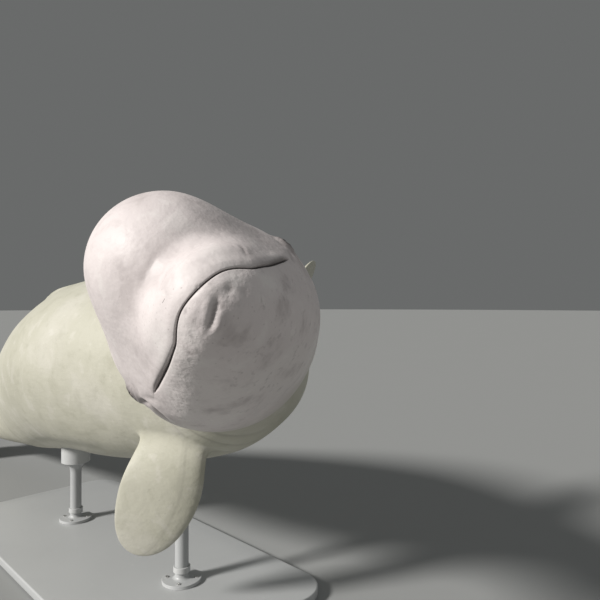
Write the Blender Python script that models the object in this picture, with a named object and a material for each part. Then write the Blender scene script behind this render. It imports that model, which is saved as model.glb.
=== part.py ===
"""Life-size beluga whale, swimming with its head turned and its body banked, on a display stand.

The whale is shaped first in a straight frame, where x is its left, y runs back from the snout tip
and z is up from the axis of its body. One field of named solids says where its flesh ends. The
straight shape is then laid along a curved spine, which gives the pose. Metres, +Z up.
"""

import math
from collections import namedtuple

import bmesh
import bpy
import numpy as np
from mathutils import Vector

GAP = 0.0003

# The pose: the trunk heads along -Y, noses up and banks, and the spine bends between stations.
TRUNK_HEIGHT = 0.80
TRUNK_STATION = 1.70
NOSE_UP_DEG = 6.2
BANK_DEG = 23.6
SPINE_STEP = 0.01
SPINE_LENGTH = 4.20
Bend = namedtuple("Bend", "start end right_deg up_deg twist_deg")
BENDS = {
    "neck": Bend(0.39, 1.46, 32.0, 43.8, 14.8),
    "back": Bend(1.10, 2.60, -1.4, -26.6, 0.0),
    "tail": Bend(2.20, 3.85, 11.8, 17.0, 8.0),
}

# The lines of the trunk: its half width, top and bottom, measured from the spine at each station.
Section = namedtuple("Section", "station wide top bottom")
LINES = {
    "jaw hinge": Section(0.38, 0.200, 0.195, -0.185),
    "nape": Section(0.52, 0.213, 0.196, -0.212),
    "neck": Section(0.66, 0.196, 0.190, -0.192),
    "shoulder": Section(0.86, 0.229, 0.212, -0.248),
    "chest": Section(1.20, 0.301, 0.284, -0.334),
    "girth": Section(1.65, 0.357, 0.332, -0.376),
    "loin": Section(2.15, 0.335, 0.325, -0.335),
    "vent": Section(2.60, 0.270, 0.290, -0.268),
    "stock": Section(3.00, 0.180, 0.232, -0.198),
    "narrow": Section(3.40, 0.100, 0.160, -0.135),
    "fluke root": Section(3.70, 0.056, 0.090, -0.080),
    "tail end": Section(3.88, 0.034, 0.036, -0.034),
}
SECTION_POWER = 2.15
FRONT_CAP = 0.20

# The solids of the head. Side is how far each of a pair stands from the middle, 0 for a single one.
Ovoid = namedtuple("Ovoid", "side station height wide long tall")
CRANIUM = Ovoid(0.0, 0.400, 0.000, 0.213, 0.290, 0.200)
MELON = Ovoid(0.0, 0.225, 0.082, 0.154, 0.171, 0.156)
CHEEKS = Ovoid(0.105, 0.345, -0.060, 0.080, 0.135, 0.105)
JOWLS = Ovoid(0.046, 0.350, -0.097, 0.111, 0.195, 0.100)
THROAT = Ovoid(0.0, 0.470, -0.038, 0.210, 0.260, 0.149)
UPPER_JAW = Ovoid(0.0, 0.245, -0.045, 0.130, 0.240, 0.070)
LOWER_JAW = Ovoid(0.0, 0.265, -0.116, 0.131, 0.245, 0.083)
HEAD_BLEND = 0.055
JAW_BLEND = 0.100

# The mouth line, from the snout tip to its corners.
HEAD_CENTRE_STATION = 0.300
MOUTH_TIP_HEIGHT = -0.079
MOUTH_DROOP = 0.018
MOUTH_DROOP_END = 0.055
MOUTH_RISE = 0.030
MOUTH_RISE_START = 0.05
MOUTH_RISE_END = 0.27
MOUTH_CORNER_STATION = 0.226
MOUTH_CORNER_HALF_WIDTH = 0.178
LIP_GROOVE_DEPTH = 0.006
LIP_GROOVE_WIDTH = 0.006
LIP_SWELL = 0.003
LIP_SWELL_OFFSET = 0.020
LIP_SWELL_WIDTH = 0.014

EYE_STATION = 0.312
EYE_HEIGHT = -0.016
EYE_RADIUS = 0.0165
EYE_PROUD = 0.0105
LID_RADIUS = 0.024
LID_WIDTH = 0.012
LID_SWELL = 0.008

BLOWHOLE_STATION = 0.500
BLOWHOLE_HALF_WIDTH = 0.034
BLOWHOLE_BEND = 0.012
BLOWHOLE_LENGTH = 0.010
BLOWHOLE_DEPTH = 0.008

# The low ridge that a beluga has in place of a back fin.
RIDGE_START = 1.70
RIDGE_END = 2.65
RIDGE_FADE = 0.25
RIDGE_HEIGHT = 0.020
RIDGE_HALF_WIDTH = 0.030

# Where the body is parted, and how finely each length is drawn.
HEAD_END = 0.560
NECK_END = 0.740
CHEST_END = 1.700
BELLY_END = 2.700
STOCK_END = 3.620
HEAD_SEGMENTS = 56
HEAD_CROWD = 0.45
HEAD_BUNCH = 0.30
SNOUT_FIRST_DEG = 3.5
SNOUT_LAST_DEG = 63.0
CHEEK_RINGS_DEG = (71.0, 75.0, 79.0, 82.0, 85.0, 87.5)
SNOUT_RINGS = 15
ROOF_COLUMNS = 7
TRUNK_CROWD = -0.25
TrunkLength = namedtuple("TrunkLength", "start end rows segments")
TRUNK_LENGTHS = {
    "neck": TrunkLength(HEAD_END, NECK_END, 6, 44),
    "chest": TrunkLength(NECK_END, CHEST_END, 17, 44),
    "belly": TrunkLength(CHEST_END, BELLY_END, 13, 40),
    "tail_stock": TrunkLength(BELLY_END, STOCK_END, 13, 36),
}

# The flukes: a leading edge out to rounded tips, and a trailing edge of two lobes with a notch.
FLUKE_HALF_SPAN = 0.470
FLUKE_ROOT_HALF_WIDTH = 0.068
FLUKE_SWEEP_POWER = 1.4
FLUKE_TIP_STATION = 3.965
FLUKE_MIDDLE_STATION = 3.800
FLUKE_NOTCH_STATION = 3.925
FLUKE_LOBE = 0.115
FLUKE_LOBE_REACH = 0.12
FLUKE_THICKNESS = 0.021
FLUKE_THINNING = 0.45
FLUKE_EDGE_POWER = 0.8
FLUKE_DROOP = 0.030
FLUKE_BOW_POWER = 1.5
FLUKE_FRONT_ROWS = 9
FLUKE_REAR_ROWS = 5
FLUKE_COLUMNS = 13

# The flippers: root, way out and way of the leading edge at the tip and at the root.
FLIPPER_STATION = 0.960
FLIPPER_LENGTH = 0.406
FLIPPER_ROOT_HALF_CHORD = 0.115
FLIPPER_FULL_HALF_CHORD = 0.131
FLIPPER_FULL_AT = 0.55
FLIPPER_TIP_POWER = 3.6
FLIPPER_THICKNESS = 0.030
FLIPPER_THINNING = 0.62
FLIPPER_NOSE = 0.35
FLIPPER_SWEEP = 0.035
FLIPPER_CURL = 0.030
FLIPPER_SUNK = 0.110
FLIPPER_ROWS = 12
FLIPPER_COLUMNS = 15
Flipper = namedtuple("Flipper", "root out lead root_lead")
FLIPPERS = {
    "flipper_right": Flipper(
        (-0.235, 1.010, -0.112), (-0.670, 0.318, -0.671), (0.535, -0.421, -0.733), (0.31, -0.70, -0.64)
    ),
    "flipper_left": Flipper(
        (0.220, 1.019, -0.075), (0.863, 0.235, 0.448), (-0.037, -0.854, 0.519), (0.17, -0.97, 0.18)
    ),
}

# The stand: a flat base and two rods, each with a flange below and a saddle above.
BASE_LENGTH = 1.700
BASE_WIDTH = 0.760
BASE_HEIGHT = 0.036
BASE_CORNER = 0.120
BASE_EDGE = 0.006
ROD_RADIUS = 0.024
ROD_SEGMENTS = 24
ROD_FILLET = 0.006
FLANGE_RADIUS = 0.070
FLANGE_HEIGHT = 0.012
SADDLE_RADIUS = 0.062
SADDLE_DROP = 0.080
SADDLE_CONE = 0.050
SADDLE_SUNK = 0.060
ROD_STATIONS = {"stand_rod_front": 1.25, "stand_rod_rear": 2.20}

BELUGA_WHITE = (0.80, 0.78, 0.76)
EYE_BLACK = (0.03, 0.025, 0.02)
STAND_GREY = (0.42, 0.43, 0.43)


def smooth_step(value, low, high):
    """0 below low, 1 above high, with no corner between."""
    share = np.clip((np.asarray(value, float) - low) / (high - low), 0.0, 1.0)
    return share * share * (3.0 - 2.0 * share)


def bell(value, centre, width):
    """1 at the centre, falling off smoothly over the width."""
    return np.exp(-(((np.asarray(value, float) - centre) / width) ** 2))


def unit(vector):
    """The vector at a length of 1."""
    vector = np.array(vector, float)
    return vector / np.linalg.norm(vector)


def line(name, station):
    """One line of the trunk at any station, by a smooth curve through the named sections."""
    at = np.array([section.station for section in LINES.values()])
    value = np.array([getattr(section, name) for section in LINES.values()])
    slope = np.gradient(value, at)
    station = np.clip(station, at[0], at[-1])
    index = np.clip(np.searchsorted(at, station) - 1, 0, len(at) - 2)
    span = at[index + 1] - at[index]
    t = (station - at[index]) / span
    return (
        (2 * t**3 - 3 * t**2 + 1) * value[index]
        + (t**3 - 2 * t**2 + t) * span * slope[index]
        + (-2 * t**3 + 3 * t**2) * value[index + 1]
        + (t**3 - t**2) * span * slope[index + 1]
    )


def blended(first, second, reach):
    """The union of two fields, with a fillet of about this reach."""
    overlap = np.maximum(reach - np.abs(first - second), 0.0) / reach
    return np.minimum(first, second) - overlap * overlap * reach / 4.0


def ovoid(points, solid):
    """Distance, near enough, to one ovoid or to a mirrored pair of them."""
    radii = np.array((solid.wide, solid.long, solid.tall))
    centre = np.array((solid.side, solid.station, solid.height))
    folded = points * np.array((0.0, 1.0, 1.0)) + np.abs(points) * np.array((1.0, 0.0, 0.0))
    scaled = (folded - centre) / radii
    size = np.linalg.norm(scaled, axis=-1) + 1e-9
    slope = np.linalg.norm(scaled / radii, axis=-1) + 1e-9
    return size * (size - 1.0) / slope


def trunk(points):
    """Distance, near enough, to the trunk that the lines describe."""
    station = points[..., 1]
    wide, top, bottom = (line(name, station) for name in ("wide", "top", "bottom"))
    tall = (top - bottom) / 2.0
    up = (points[..., 2] - (top + bottom) / 2.0) / tall
    ahead = np.maximum(LINES["jaw hinge"].station - station, 0.0) / FRONT_CAP
    size = (
        np.abs(points[..., 0] / wide) ** SECTION_POWER + np.abs(up) ** SECTION_POWER + ahead**SECTION_POWER
    ) ** (1.0 / SECTION_POWER)
    return (size - 1.0) * np.sqrt(wide * tall)


def flesh(points):
    """Negative inside the whale's body and positive outside it."""
    field = trunk(points)
    for solid in (CRANIUM, THROAT, CHEEKS, JOWLS, MELON):
        field = blended(field, ovoid(points, solid), HEAD_BLEND)
    jaws = blended(ovoid(points, UPPER_JAW), ovoid(points, LOWER_JAW), JAW_BLEND)
    return blended(field, jaws, HEAD_BLEND)


def reach_skin(origins, directions):
    """Where each ray from inside the body meets the skin, by halving."""
    inside = np.zeros(directions.shape[:-1])
    outside = np.full(directions.shape[:-1], 0.75)
    for _ in range(26):
        middle = (inside + outside) / 2.0
        within = flesh(origins + directions * middle[..., None]) < 0.0
        inside = np.where(within, middle, inside)
        outside = np.where(within, outside, middle)
    return origins + directions * ((inside + outside) / 2.0)[..., None]


def head_ray(opening, turn):
    """Origins and directions from the head's centre: opening 0 points forward, turn 0 to its left."""
    directions = np.stack(
        (np.sin(opening) * np.cos(turn), -np.cos(opening), np.sin(opening) * np.sin(turn)), -1
    )
    origins = np.zeros_like(directions)
    origins[..., 1] = HEAD_CENTRE_STATION
    origins[..., 2] = MOUTH_TIP_HEIGHT
    return origins, directions


def mouth_height(station):
    """The mouth line from the side: level at the tip, a droop, then the rise to its corner."""
    droop = MOUTH_DROOP * smooth_step(station, 0.0, MOUTH_DROOP_END)
    return MOUTH_TIP_HEIGHT - droop + MOUTH_RISE * smooth_step(station, MOUTH_RISE_START, MOUTH_RISE_END)


def mouth_turn(opening):
    """For each opening, the turn at which the skin lies on the mouth line."""
    low = np.full(opening.shape, -0.9)
    high = np.full(opening.shape, 0.9)
    for _ in range(18):
        middle = (low + high) / 2.0
        skin = reach_skin(*head_ray(opening, middle))
        above = skin[..., 2] > mouth_height(skin[..., 1])
        high = np.where(above, middle, high)
        low = np.where(above, low, middle)
    return (low + high) / 2.0


def around(segments, crowd, bunch=0.0):
    """Turns round the body from its left, over the top, closer together along its sides by both shares."""
    even = np.linspace(0.0, 2.0 * math.pi, segments, endpoint=False)
    return even - crowd * np.sin(2.0 * even) / 2.0 - bunch * np.sin(4.0 * even) / 4.0


def head_rings(openings, turns):
    """Skin points of the cone rings in front of the head's centre, with turn 0 on the mouth line."""
    turn = turns[None, :] + mouth_turn(openings)[:, None] * np.cos(turns)[None, :]
    return reach_skin(*head_ray(openings[:, None] + 0.0 * turn, turn))


def trunk_rings(stations, turns):
    """Skin points of the flat rings behind the head's centre."""
    offset = mouth_turn(np.array([math.pi / 2.0]))[0]
    fade = 1.0 - smooth_step(stations, HEAD_CENTRE_STATION, NECK_END)
    turn = turns[None, :] + (offset * fade)[:, None] * np.cos(turns)[None, :]
    middle = (line("top", stations) + line("bottom", stations)) / 2.0
    directions = np.stack((np.cos(turn), 0.0 * turn, np.sin(turn)), -1)
    origins = np.zeros_like(directions)
    origins[..., 1] = stations[:, None]
    origins[..., 2] = (MOUTH_TIP_HEIGHT * fade + middle * (1.0 - fade))[:, None]
    return reach_skin(origins, directions)


CORNER_OPENING = math.atan2(MOUTH_CORNER_HALF_WIDTH, HEAD_CENTRE_STATION - MOUTH_CORNER_STATION)


def mouth_curve():
    """The mouth line from the tip of the snout to its left corner."""
    openings = np.linspace(0.02, CORNER_OPENING, 24)
    return reach_skin(*head_ray(openings, mouth_turn(openings)))


MOUTH_LINE = mouth_curve()


def along_mouth(points):
    """Distance from each point to the mouth line on its own side, and how far along the line that is."""
    folded = np.concatenate((np.abs(points[..., :1]), points[..., 1:]), -1)
    nearest = np.full(points.shape[:-1], np.inf)
    place = np.zeros(points.shape[:-1])
    for index, (start, end) in enumerate(zip(MOUTH_LINE[:-1], MOUTH_LINE[1:])):
        reach = end - start
        share = np.clip(((folded - start) @ reach) / (reach @ reach), 0.0, 1.0)
        apart = np.linalg.norm(folded - start - share[..., None] * reach, axis=-1)
        closer = apart < nearest
        nearest = np.where(closer, apart, nearest)
        place = np.where(closer, (index + share) / (len(MOUTH_LINE) - 1), place)
    return nearest, place


def eye_centre(side):
    """The middle of the eyeball, 1 for the left, set so that it stands a little proud of the skin."""
    skin = reach_skin(np.array((0.0, EYE_STATION, EYE_HEIGHT)), np.array((1.0, 0.0, 0.0)))
    return np.array((side * (skin[0] + EYE_PROUD - EYE_RADIUS), EYE_STATION, EYE_HEIGHT))


def lips(points):
    """The groove of the mouth line and the soft lips beside it."""
    apart, place = along_mouth(points)
    groove = LIP_GROOVE_DEPTH * (1.0 - 0.55 * smooth_step(place, 0.9, 1.0))
    swell = LIP_SWELL * (1.0 - 0.7 * smooth_step(place, 0.6, 1.0))
    groove = groove * bell(apart, 0.0, LIP_GROOVE_WIDTH)
    return swell * bell(apart, LIP_SWELL_OFFSET, LIP_SWELL_WIDTH) - groove


def lids(points):
    """The raised ring of lids round each eye."""
    apart = [np.linalg.norm(points - eye_centre(side), axis=-1) for side in (1, -1)]
    return LID_SWELL * bell(np.minimum(*apart), LID_RADIUS, LID_WIDTH)


def blowhole(points):
    """The crescent dent of the blowhole."""
    across = np.abs(points[..., 0]) / BLOWHOLE_HALF_WIDTH
    slit = bell(points[..., 1], BLOWHOLE_STATION + BLOWHOLE_BEND * across**2, BLOWHOLE_LENGTH)
    return -BLOWHOLE_DEPTH * slit * (1.0 - smooth_step(across, 0.7, 1.3)) * (points[..., 2] > 0.0)


def ridge(points):
    """The low ridge along the back."""
    start = smooth_step(points[..., 1], RIDGE_START, RIDGE_START + RIDGE_FADE)
    end = 1.0 - smooth_step(points[..., 1], RIDGE_END - RIDGE_FADE, RIDGE_END)
    return RIDGE_HEIGHT * start * end * bell(points[..., 0], 0.0, RIDGE_HALF_WIDTH) * (points[..., 2] > 0.0)


def outward(points):
    """The way out of the flesh at each point."""
    step = 0.002
    slope = np.stack([flesh(points + step * axis) - flesh(points - step * axis) for axis in np.eye(3)], -1)
    return slope / np.linalg.norm(slope, axis=-1, keepdims=True)


def dressed(points):
    """Skin points moved out or in by the lips, lids, blowhole and ridge."""
    relief = lips(points) + lids(points) + blowhole(points) + ridge(points)
    return points + outward(points) * relief[..., None]


def rotated(basis, axis, angle):
    """Each column of the basis turned about the axis."""
    cosine, sine = math.cos(angle), math.sin(angle)
    turned = [v * cosine + np.cross(axis, v) * sine + axis * (axis @ v) * (1.0 - cosine) for v in basis.T]
    return np.stack(turned, 1)


def bent(basis, to_left, upwards, twist):
    """The basis, whose columns are left, up and back, bent and twisted by small angles."""
    left, up, back = basis.T
    angle = math.hypot(to_left, upwards)
    if angle > 0.0:
        basis = rotated(basis, np.cross(back, (to_left * left + upwards * up) / angle), angle)
    return rotated(basis, basis[:, 2], twist)


def trunk_basis():
    """Left, up and back of the trunk in the world, as columns."""
    rise, bank = math.radians(NOSE_UP_DEG), math.radians(BANK_DEG)
    back = np.array((0.0, math.cos(rise), -math.sin(rise)))
    level_up = np.array((0.0, math.sin(rise), math.cos(rise)))
    level_left = np.array((1.0, 0.0, 0.0))
    up = level_up * math.cos(bank) - level_left * math.sin(bank)
    left = level_left * math.cos(bank) + level_up * math.sin(bank)
    return np.stack((left, up, back), 1)


def spine():
    """Places and bases along the spine in the world, one for each step from the snout tip."""
    place = [np.zeros(3)]
    basis = [np.stack(((1.0, 0.0, 0.0), (0.0, 0.0, 1.0), (0.0, 1.0, 0.0)), 1)]
    for step in range(int(round(SPINE_LENGTH / SPINE_STEP))):
        angles = np.zeros(3)
        for bend in BENDS.values():
            share = min(max((step * SPINE_STEP - bend.start) / (bend.end - bend.start), 0.0), 1.0)
            rate = (1.0 - math.cos(2.0 * math.pi * share)) / (bend.end - bend.start) * SPINE_STEP
            angles += np.radians((-bend.right_deg, bend.up_deg, bend.twist_deg)) * rate
        basis.append(bent(basis[-1], *angles))
        place.append(place[-1] + basis[-1][:, 2] * SPINE_STEP)
    place, basis = np.array(place), np.array(basis)
    middle = int(round(TRUNK_STATION / SPINE_STEP))
    carry = trunk_basis() @ basis[middle].T
    return (place - place[middle]) @ carry.T + np.array((0.0, 0.0, TRUNK_HEIGHT)), carry @ basis


SPINE_PLACE, SPINE_BASIS = spine()


def posed(points):
    """Straight-frame points laid along the spine."""
    points = np.asarray(points, float)
    at = np.clip(points[..., 1] / SPINE_STEP, 0.0, len(SPINE_PLACE) - 2.0)
    index = at.astype(int)
    share = (at - index)[..., None]
    origin = SPINE_PLACE[index] * (1.0 - share) + SPINE_PLACE[index + 1] * share
    frame = SPINE_BASIS[index] * (1.0 - share[..., None]) + SPINE_BASIS[index + 1] * share[..., None]
    ahead = np.minimum(points[..., 1:2], 0.0)
    return (
        origin
        + frame[..., :, 0] * points[..., 0:1]
        + frame[..., :, 1] * points[..., 2:3]
        + frame[..., :, 2] * ahead
    )


def posed_rigidly(points, station):
    """Straight-frame points set in the posed frame of one station, without the bend."""
    index = int(round(station / SPINE_STEP))
    points = np.asarray(points, float)
    local = np.stack((points[..., 0], points[..., 2], points[..., 1] - station), -1)
    return SPINE_PLACE[index] + local @ SPINE_BASIS[index].T


class Shell:
    """Gathers the corners and faces of one closed solid. Corners that coincide are one corner."""

    def __init__(self):
        self.corners = []
        self.faces = []
        self.known = {}

    def corner(self, point):
        """The number of this corner, new or already known."""
        key = tuple(int(round(value * 1e6)) for value in point)
        if key not in self.known:
            self.known[key] = len(self.corners)
            self.corners.append(Vector(point))
        return self.known[key]

    def face(self, *points):
        """One triangle, unless its corners fall together."""
        numbers = [self.corner(point) for point in points]
        if len(set(numbers)) == 3:
            self.faces.append(numbers)

    def patch(self, grid):
        """Triangles over a grid of points, each square split the same way."""
        for front, back in zip(grid[:-1], grid[1:]):
            for a, b, d, c in zip(front[:-1], front[1:], back[:-1], back[1:]):
                self.face(a, b, c)
                self.face(a, c, d)

    def fan(self, loop):
        """Triangles from the middle of a closed loop to each of its sides."""
        middle = np.mean(loop, axis=0)
        for first, second in zip(loop, np.roll(loop, -1, axis=0)):
            self.face(middle, first, second)

    def mesh(self, name):
        """The finished mesh, facing outwards."""
        bm = bmesh.new()
        verts = [bm.verts.new(corner) for corner in self.corners]
        for numbers in self.faces:
            bm.faces.new([verts[n] for n in numbers])
        bmesh.ops.recalc_face_normals(bm, faces=bm.faces)
        if bm.calc_volume(signed=True) < 0.0:
            bmesh.ops.reverse_faces(bm, faces=bm.faces)
        return written(bm, name)


def written(bm, name):
    """The bmesh as a mesh of this name."""
    mesh = bpy.data.meshes.new(name)
    bm.to_mesh(mesh)
    bm.free()
    return mesh


def ringed(grid):
    """A grid whose rows close on themselves."""
    return np.concatenate((grid, grid[:, :1]), axis=1)


def trunk_shell(length, swell=0.0):
    """A length of the trunk between two flat ends, swollen by so much."""
    stations = np.linspace(length.start + GAP / 2.0, length.end - GAP / 2.0, length.rows)
    rings = dressed(trunk_rings(stations, around(length.segments, TRUNK_CROWD)))
    rings[..., 1] = stations[:, None]
    rings = posed(rings + outward(rings) * swell)
    shell = Shell()
    shell.patch(ringed(rings))
    shell.fan(rings[0])
    shell.fan(rings[-1])
    return shell


def head_grid():
    """Rings of skin points from the tip of the snout to the nape, and the row of the mouth's corners."""
    openings = np.radians(np.linspace(SNOUT_FIRST_DEG, SNOUT_LAST_DEG, SNOUT_RINGS))
    cheeks = np.radians(CHEEK_RINGS_DEG)
    openings = np.concatenate(([openings[0] / 4.0], openings, [CORNER_OPENING], cheeks))
    stations = np.concatenate(
        (
            np.linspace(HEAD_CENTRE_STATION, EYE_STATION + 0.034, 11),
            np.linspace(EYE_STATION + 0.050, HEAD_END - GAP / 2.0, 10),
        )
    )
    turns = around(HEAD_SEGMENTS, HEAD_CROWD, HEAD_BUNCH)
    rings = dressed(np.concatenate((head_rings(openings, turns), trunk_rings(stations, turns))))
    rings[-1, :, 1] = stations[-1]
    rings[0] = rings[0].mean(axis=0)
    return rings, SNOUT_RINGS + 1


def mouth_roof(rings, corner_row):
    """The surface inside the closed mouth: straight across from one side of the line to the other."""
    left = rings[: corner_row + 1, None, 0]
    right = rings[: corner_row + 1, None, HEAD_SEGMENTS // 2]
    share = np.linspace(0.0, 1.0, ROOF_COLUMNS)[None, :, None]
    return right * (1.0 - share) + left * share


def jaw_wall(rings, corner_row, roof):
    """The loop round the back of the lower jaw: below from one corner to the other, then across."""
    below = ringed(rings)[corner_row, HEAD_SEGMENTS // 2 :]
    return np.concatenate((below, roof[corner_row, 1:-1][::-1]))


def head_shell(rings, corner_row):
    """The head without its lower jaw."""
    roof = mouth_roof(rings, corner_row)
    shell = Shell()
    shell.patch(posed(rings[: corner_row + 1, : HEAD_SEGMENTS // 2 + 1]))
    shell.patch(posed(ringed(rings[corner_row:])))
    shell.patch(posed(roof))
    shell.fan(posed(jaw_wall(rings, corner_row, roof)))
    shell.fan(posed(rings[-1]))
    return shell


def jaw_shell(rings, corner_row):
    """The lower jaw, set forward and down from the head by the gap."""
    apart = np.array((0.0, -1.3 * GAP, -1.3 * GAP))
    roof = mouth_roof(rings, corner_row)
    shell = Shell()
    shell.patch(posed(ringed(rings[: corner_row + 1])[:, HEAD_SEGMENTS // 2 :] + apart))
    shell.patch(posed(roof + apart))
    shell.fan(posed(jaw_wall(rings, corner_row, roof) + apart))
    return shell


def fluke_edge(station):
    """Half width of the flukes at their leading edge."""
    share = (station - STOCK_END) / (FLUKE_TIP_STATION - STOCK_END)
    spread = np.sin(math.pi / 2.0 * share) ** FLUKE_SWEEP_POWER
    return FLUKE_ROOT_HALF_WIDTH + (FLUKE_HALF_SPAN - FLUKE_ROOT_HALF_WIDTH) * spread


def fluke_trail(span):
    """Station of the trailing edge, for a span of 0 at the notch and 1 at the tip."""
    fall = FLUKE_NOTCH_STATION + FLUKE_LOBE - FLUKE_TIP_STATION
    return FLUKE_NOTCH_STATION + FLUKE_LOBE * (1.0 - np.exp(-span / FLUKE_LOBE_REACH)) - fall * span**2


def fluke_outline():
    """Places across one fluke, and how full it is at each: rows run back, columns run out."""
    out = np.sin(np.linspace(0.0, math.pi / 2.0, FLUKE_COLUMNS))
    full = np.maximum(1.0 - out**SECTION_POWER, 0.0) ** (1.0 / SECTION_POWER)
    widest = FLUKE_TIP_STATION - (FLUKE_TIP_STATION - FLUKE_MIDDLE_STATION) * (1.0 - out**2)
    rows, fullness = [], []
    for station in np.linspace(STOCK_END + GAP / 2.0, FLUKE_TIP_STATION, FLUKE_FRONT_ROWS):
        share = (station - STOCK_END) / (FLUKE_TIP_STATION - STOCK_END)
        places = station + (widest - FLUKE_TIP_STATION) * share**FLUKE_BOW_POWER
        rows.append(np.stack((fluke_edge(station) * out, places), -1))
        fullness.append(full)
    for share in np.linspace(0.0, 1.0, FLUKE_REAR_ROWS + 1)[1:]:
        station = widest + (fluke_trail(out) - widest) * share
        rows.append(np.stack((FLUKE_HALF_SPAN * out, station), -1))
        fullness.append(full * (1.0 - share**2) ** FLUKE_EDGE_POWER)
    return np.array(rows), np.array(fullness)


def fluke_faces():
    """The upper and lower face of the left fluke in the straight frame."""
    places, fullness = fluke_outline()
    across = places[..., 0] / FLUKE_HALF_SPAN
    along = (places[..., 1] - STOCK_END) / (FLUKE_NOTCH_STATION - STOCK_END)
    top, bottom = float(line("top", STOCK_END)), float(line("bottom", STOCK_END))
    keel = (top - bottom) / 2.0 * (1.0 - smooth_step(along, 0.0, 1.05))
    near_stock = bell(places[..., 0], 0.0, FLUKE_ROOT_HALF_WIDTH * 1.15) ** smooth_step(along, 0.0, 0.45)
    blade = FLUKE_THICKNESS * smooth_step(along, 0.0, 0.35) * (1.0 - FLUKE_THINNING * across)
    height = fullness * (keel * near_stock + blade)
    level = (top + bottom) / 2.0 - FLUKE_DROOP * across**2
    return tuple(np.concatenate((places, (level + way * height)[..., None]), -1) for way in (1.0, -1.0))


def fluke_shell(side):
    """One fluke, cut flat where it meets the other and where it meets the tail stock."""
    apart = np.array((GAP / 2.0, 0.0, 0.0))
    mirror = np.array((side, 1.0, 1.0))
    upper, lower = (posed((face + apart) * mirror) for face in fluke_faces())
    shell = Shell()
    shell.patch(upper)
    shell.patch(lower)
    shell.patch(np.stack((upper[:, 0], lower[:, 0]), 1))
    shell.patch(np.stack((upper[0], lower[0]), 0))
    return shell


def flipper_half_chord(share):
    """Half the width of the paddle, along its length from 0 to 1."""
    growth = (FLIPPER_FULL_HALF_CHORD - FLIPPER_ROOT_HALF_CHORD) * smooth_step(share, 0.0, FLIPPER_FULL_AT)
    rounding = math.sqrt(max(1.0 - max(share, 0.0) ** FLIPPER_TIP_POWER, 0.0))
    return (FLIPPER_ROOT_HALF_CHORD + growth) * rounding


def flipper_section(build, share, across):
    """The upper and lower edge points of one section of a flipper."""
    out = unit(build.out)
    turn = smooth_step(share, -0.05, 0.45)
    lead = unit(build.root_lead) * (1.0 - turn) + unit(build.lead) * turn
    lead = unit(lead - out * (lead @ out))
    face = np.cross(out, lead)
    reach = max(share, 0.0)
    half = flipper_half_chord(share)
    middle = np.array(build.root) + out * FLIPPER_LENGTH * share - lead * FLIPPER_SWEEP * reach**2
    middle = middle + face * FLIPPER_CURL * reach**3 * np.sign(build.root[0])
    thick = FLIPPER_THICKNESS * (1.0 - FLIPPER_THINNING * reach) * min(half / FLIPPER_ROOT_HALF_CHORD, 1.0)
    profile = thick * np.sqrt(np.maximum(1.0 - across**2, 0.0)) * (1.0 + FLIPPER_NOSE * across)
    chord = middle + lead * (half * across)[:, None]
    return chord + face * profile[:, None], chord - face * profile[:, None]


def flipper_shell(build):
    """One flipper, its root sunk into the chest: rows run out to the tip, columns to the trailing edge."""
    shares = np.sin(np.linspace(0.0, math.pi / 2.0, FLIPPER_ROWS)) ** 0.9
    shares = np.insert(shares, 0, -FLIPPER_SUNK / FLIPPER_LENGTH)
    across = np.cos(np.linspace(0.0, math.pi, FLIPPER_COLUMNS))
    sections = np.array([flipper_section(build, share, across) for share in shares])
    upper = posed_rigidly(sections[:, 0], FLIPPER_STATION)
    lower = posed_rigidly(sections[:, 1], FLIPPER_STATION)
    shell = Shell()
    shell.patch(upper)
    shell.patch(lower)
    shell.fan(np.concatenate((upper[0], lower[0][1:-1][::-1])))
    return shell


def rounded(bm, edges, radius, segments):
    """Rounds these edges."""
    shape = {"segments": segments, "profile": 0.5, "affect": "EDGES", "material": -1}
    bmesh.ops.bevel(bm, geom=edges, offset=radius, **shape)


def base_mesh():
    """The flat base: a rounded plate with softened edges."""
    bm = bmesh.new()
    bmesh.ops.create_cube(bm, size=1.0)
    bmesh.ops.scale(bm, vec=(BASE_WIDTH, BASE_LENGTH, BASE_HEIGHT), verts=bm.verts)
    bmesh.ops.translate(bm, vec=(0.0, 0.0, BASE_HEIGHT / 2.0), verts=bm.verts)
    upright = [e for e in bm.edges if abs(e.verts[0].co.z - e.verts[1].co.z) > BASE_HEIGHT / 2.0]
    rounded(bm, upright, BASE_CORNER, 8)
    rim = [e for e in bm.edges if all(v.co.z > BASE_HEIGHT / 2.0 for v in e.verts)]
    rounded(bm, rim, BASE_EDGE, 2)
    return written(bm, "stand_base")


def belly_below(station):
    """The lowest skin point of the ring at this station, in the world."""
    ring = posed(trunk_rings(np.array([station]), around(72, 0.0)))[0]
    return ring[np.argmin(ring[:, 2])]


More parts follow.
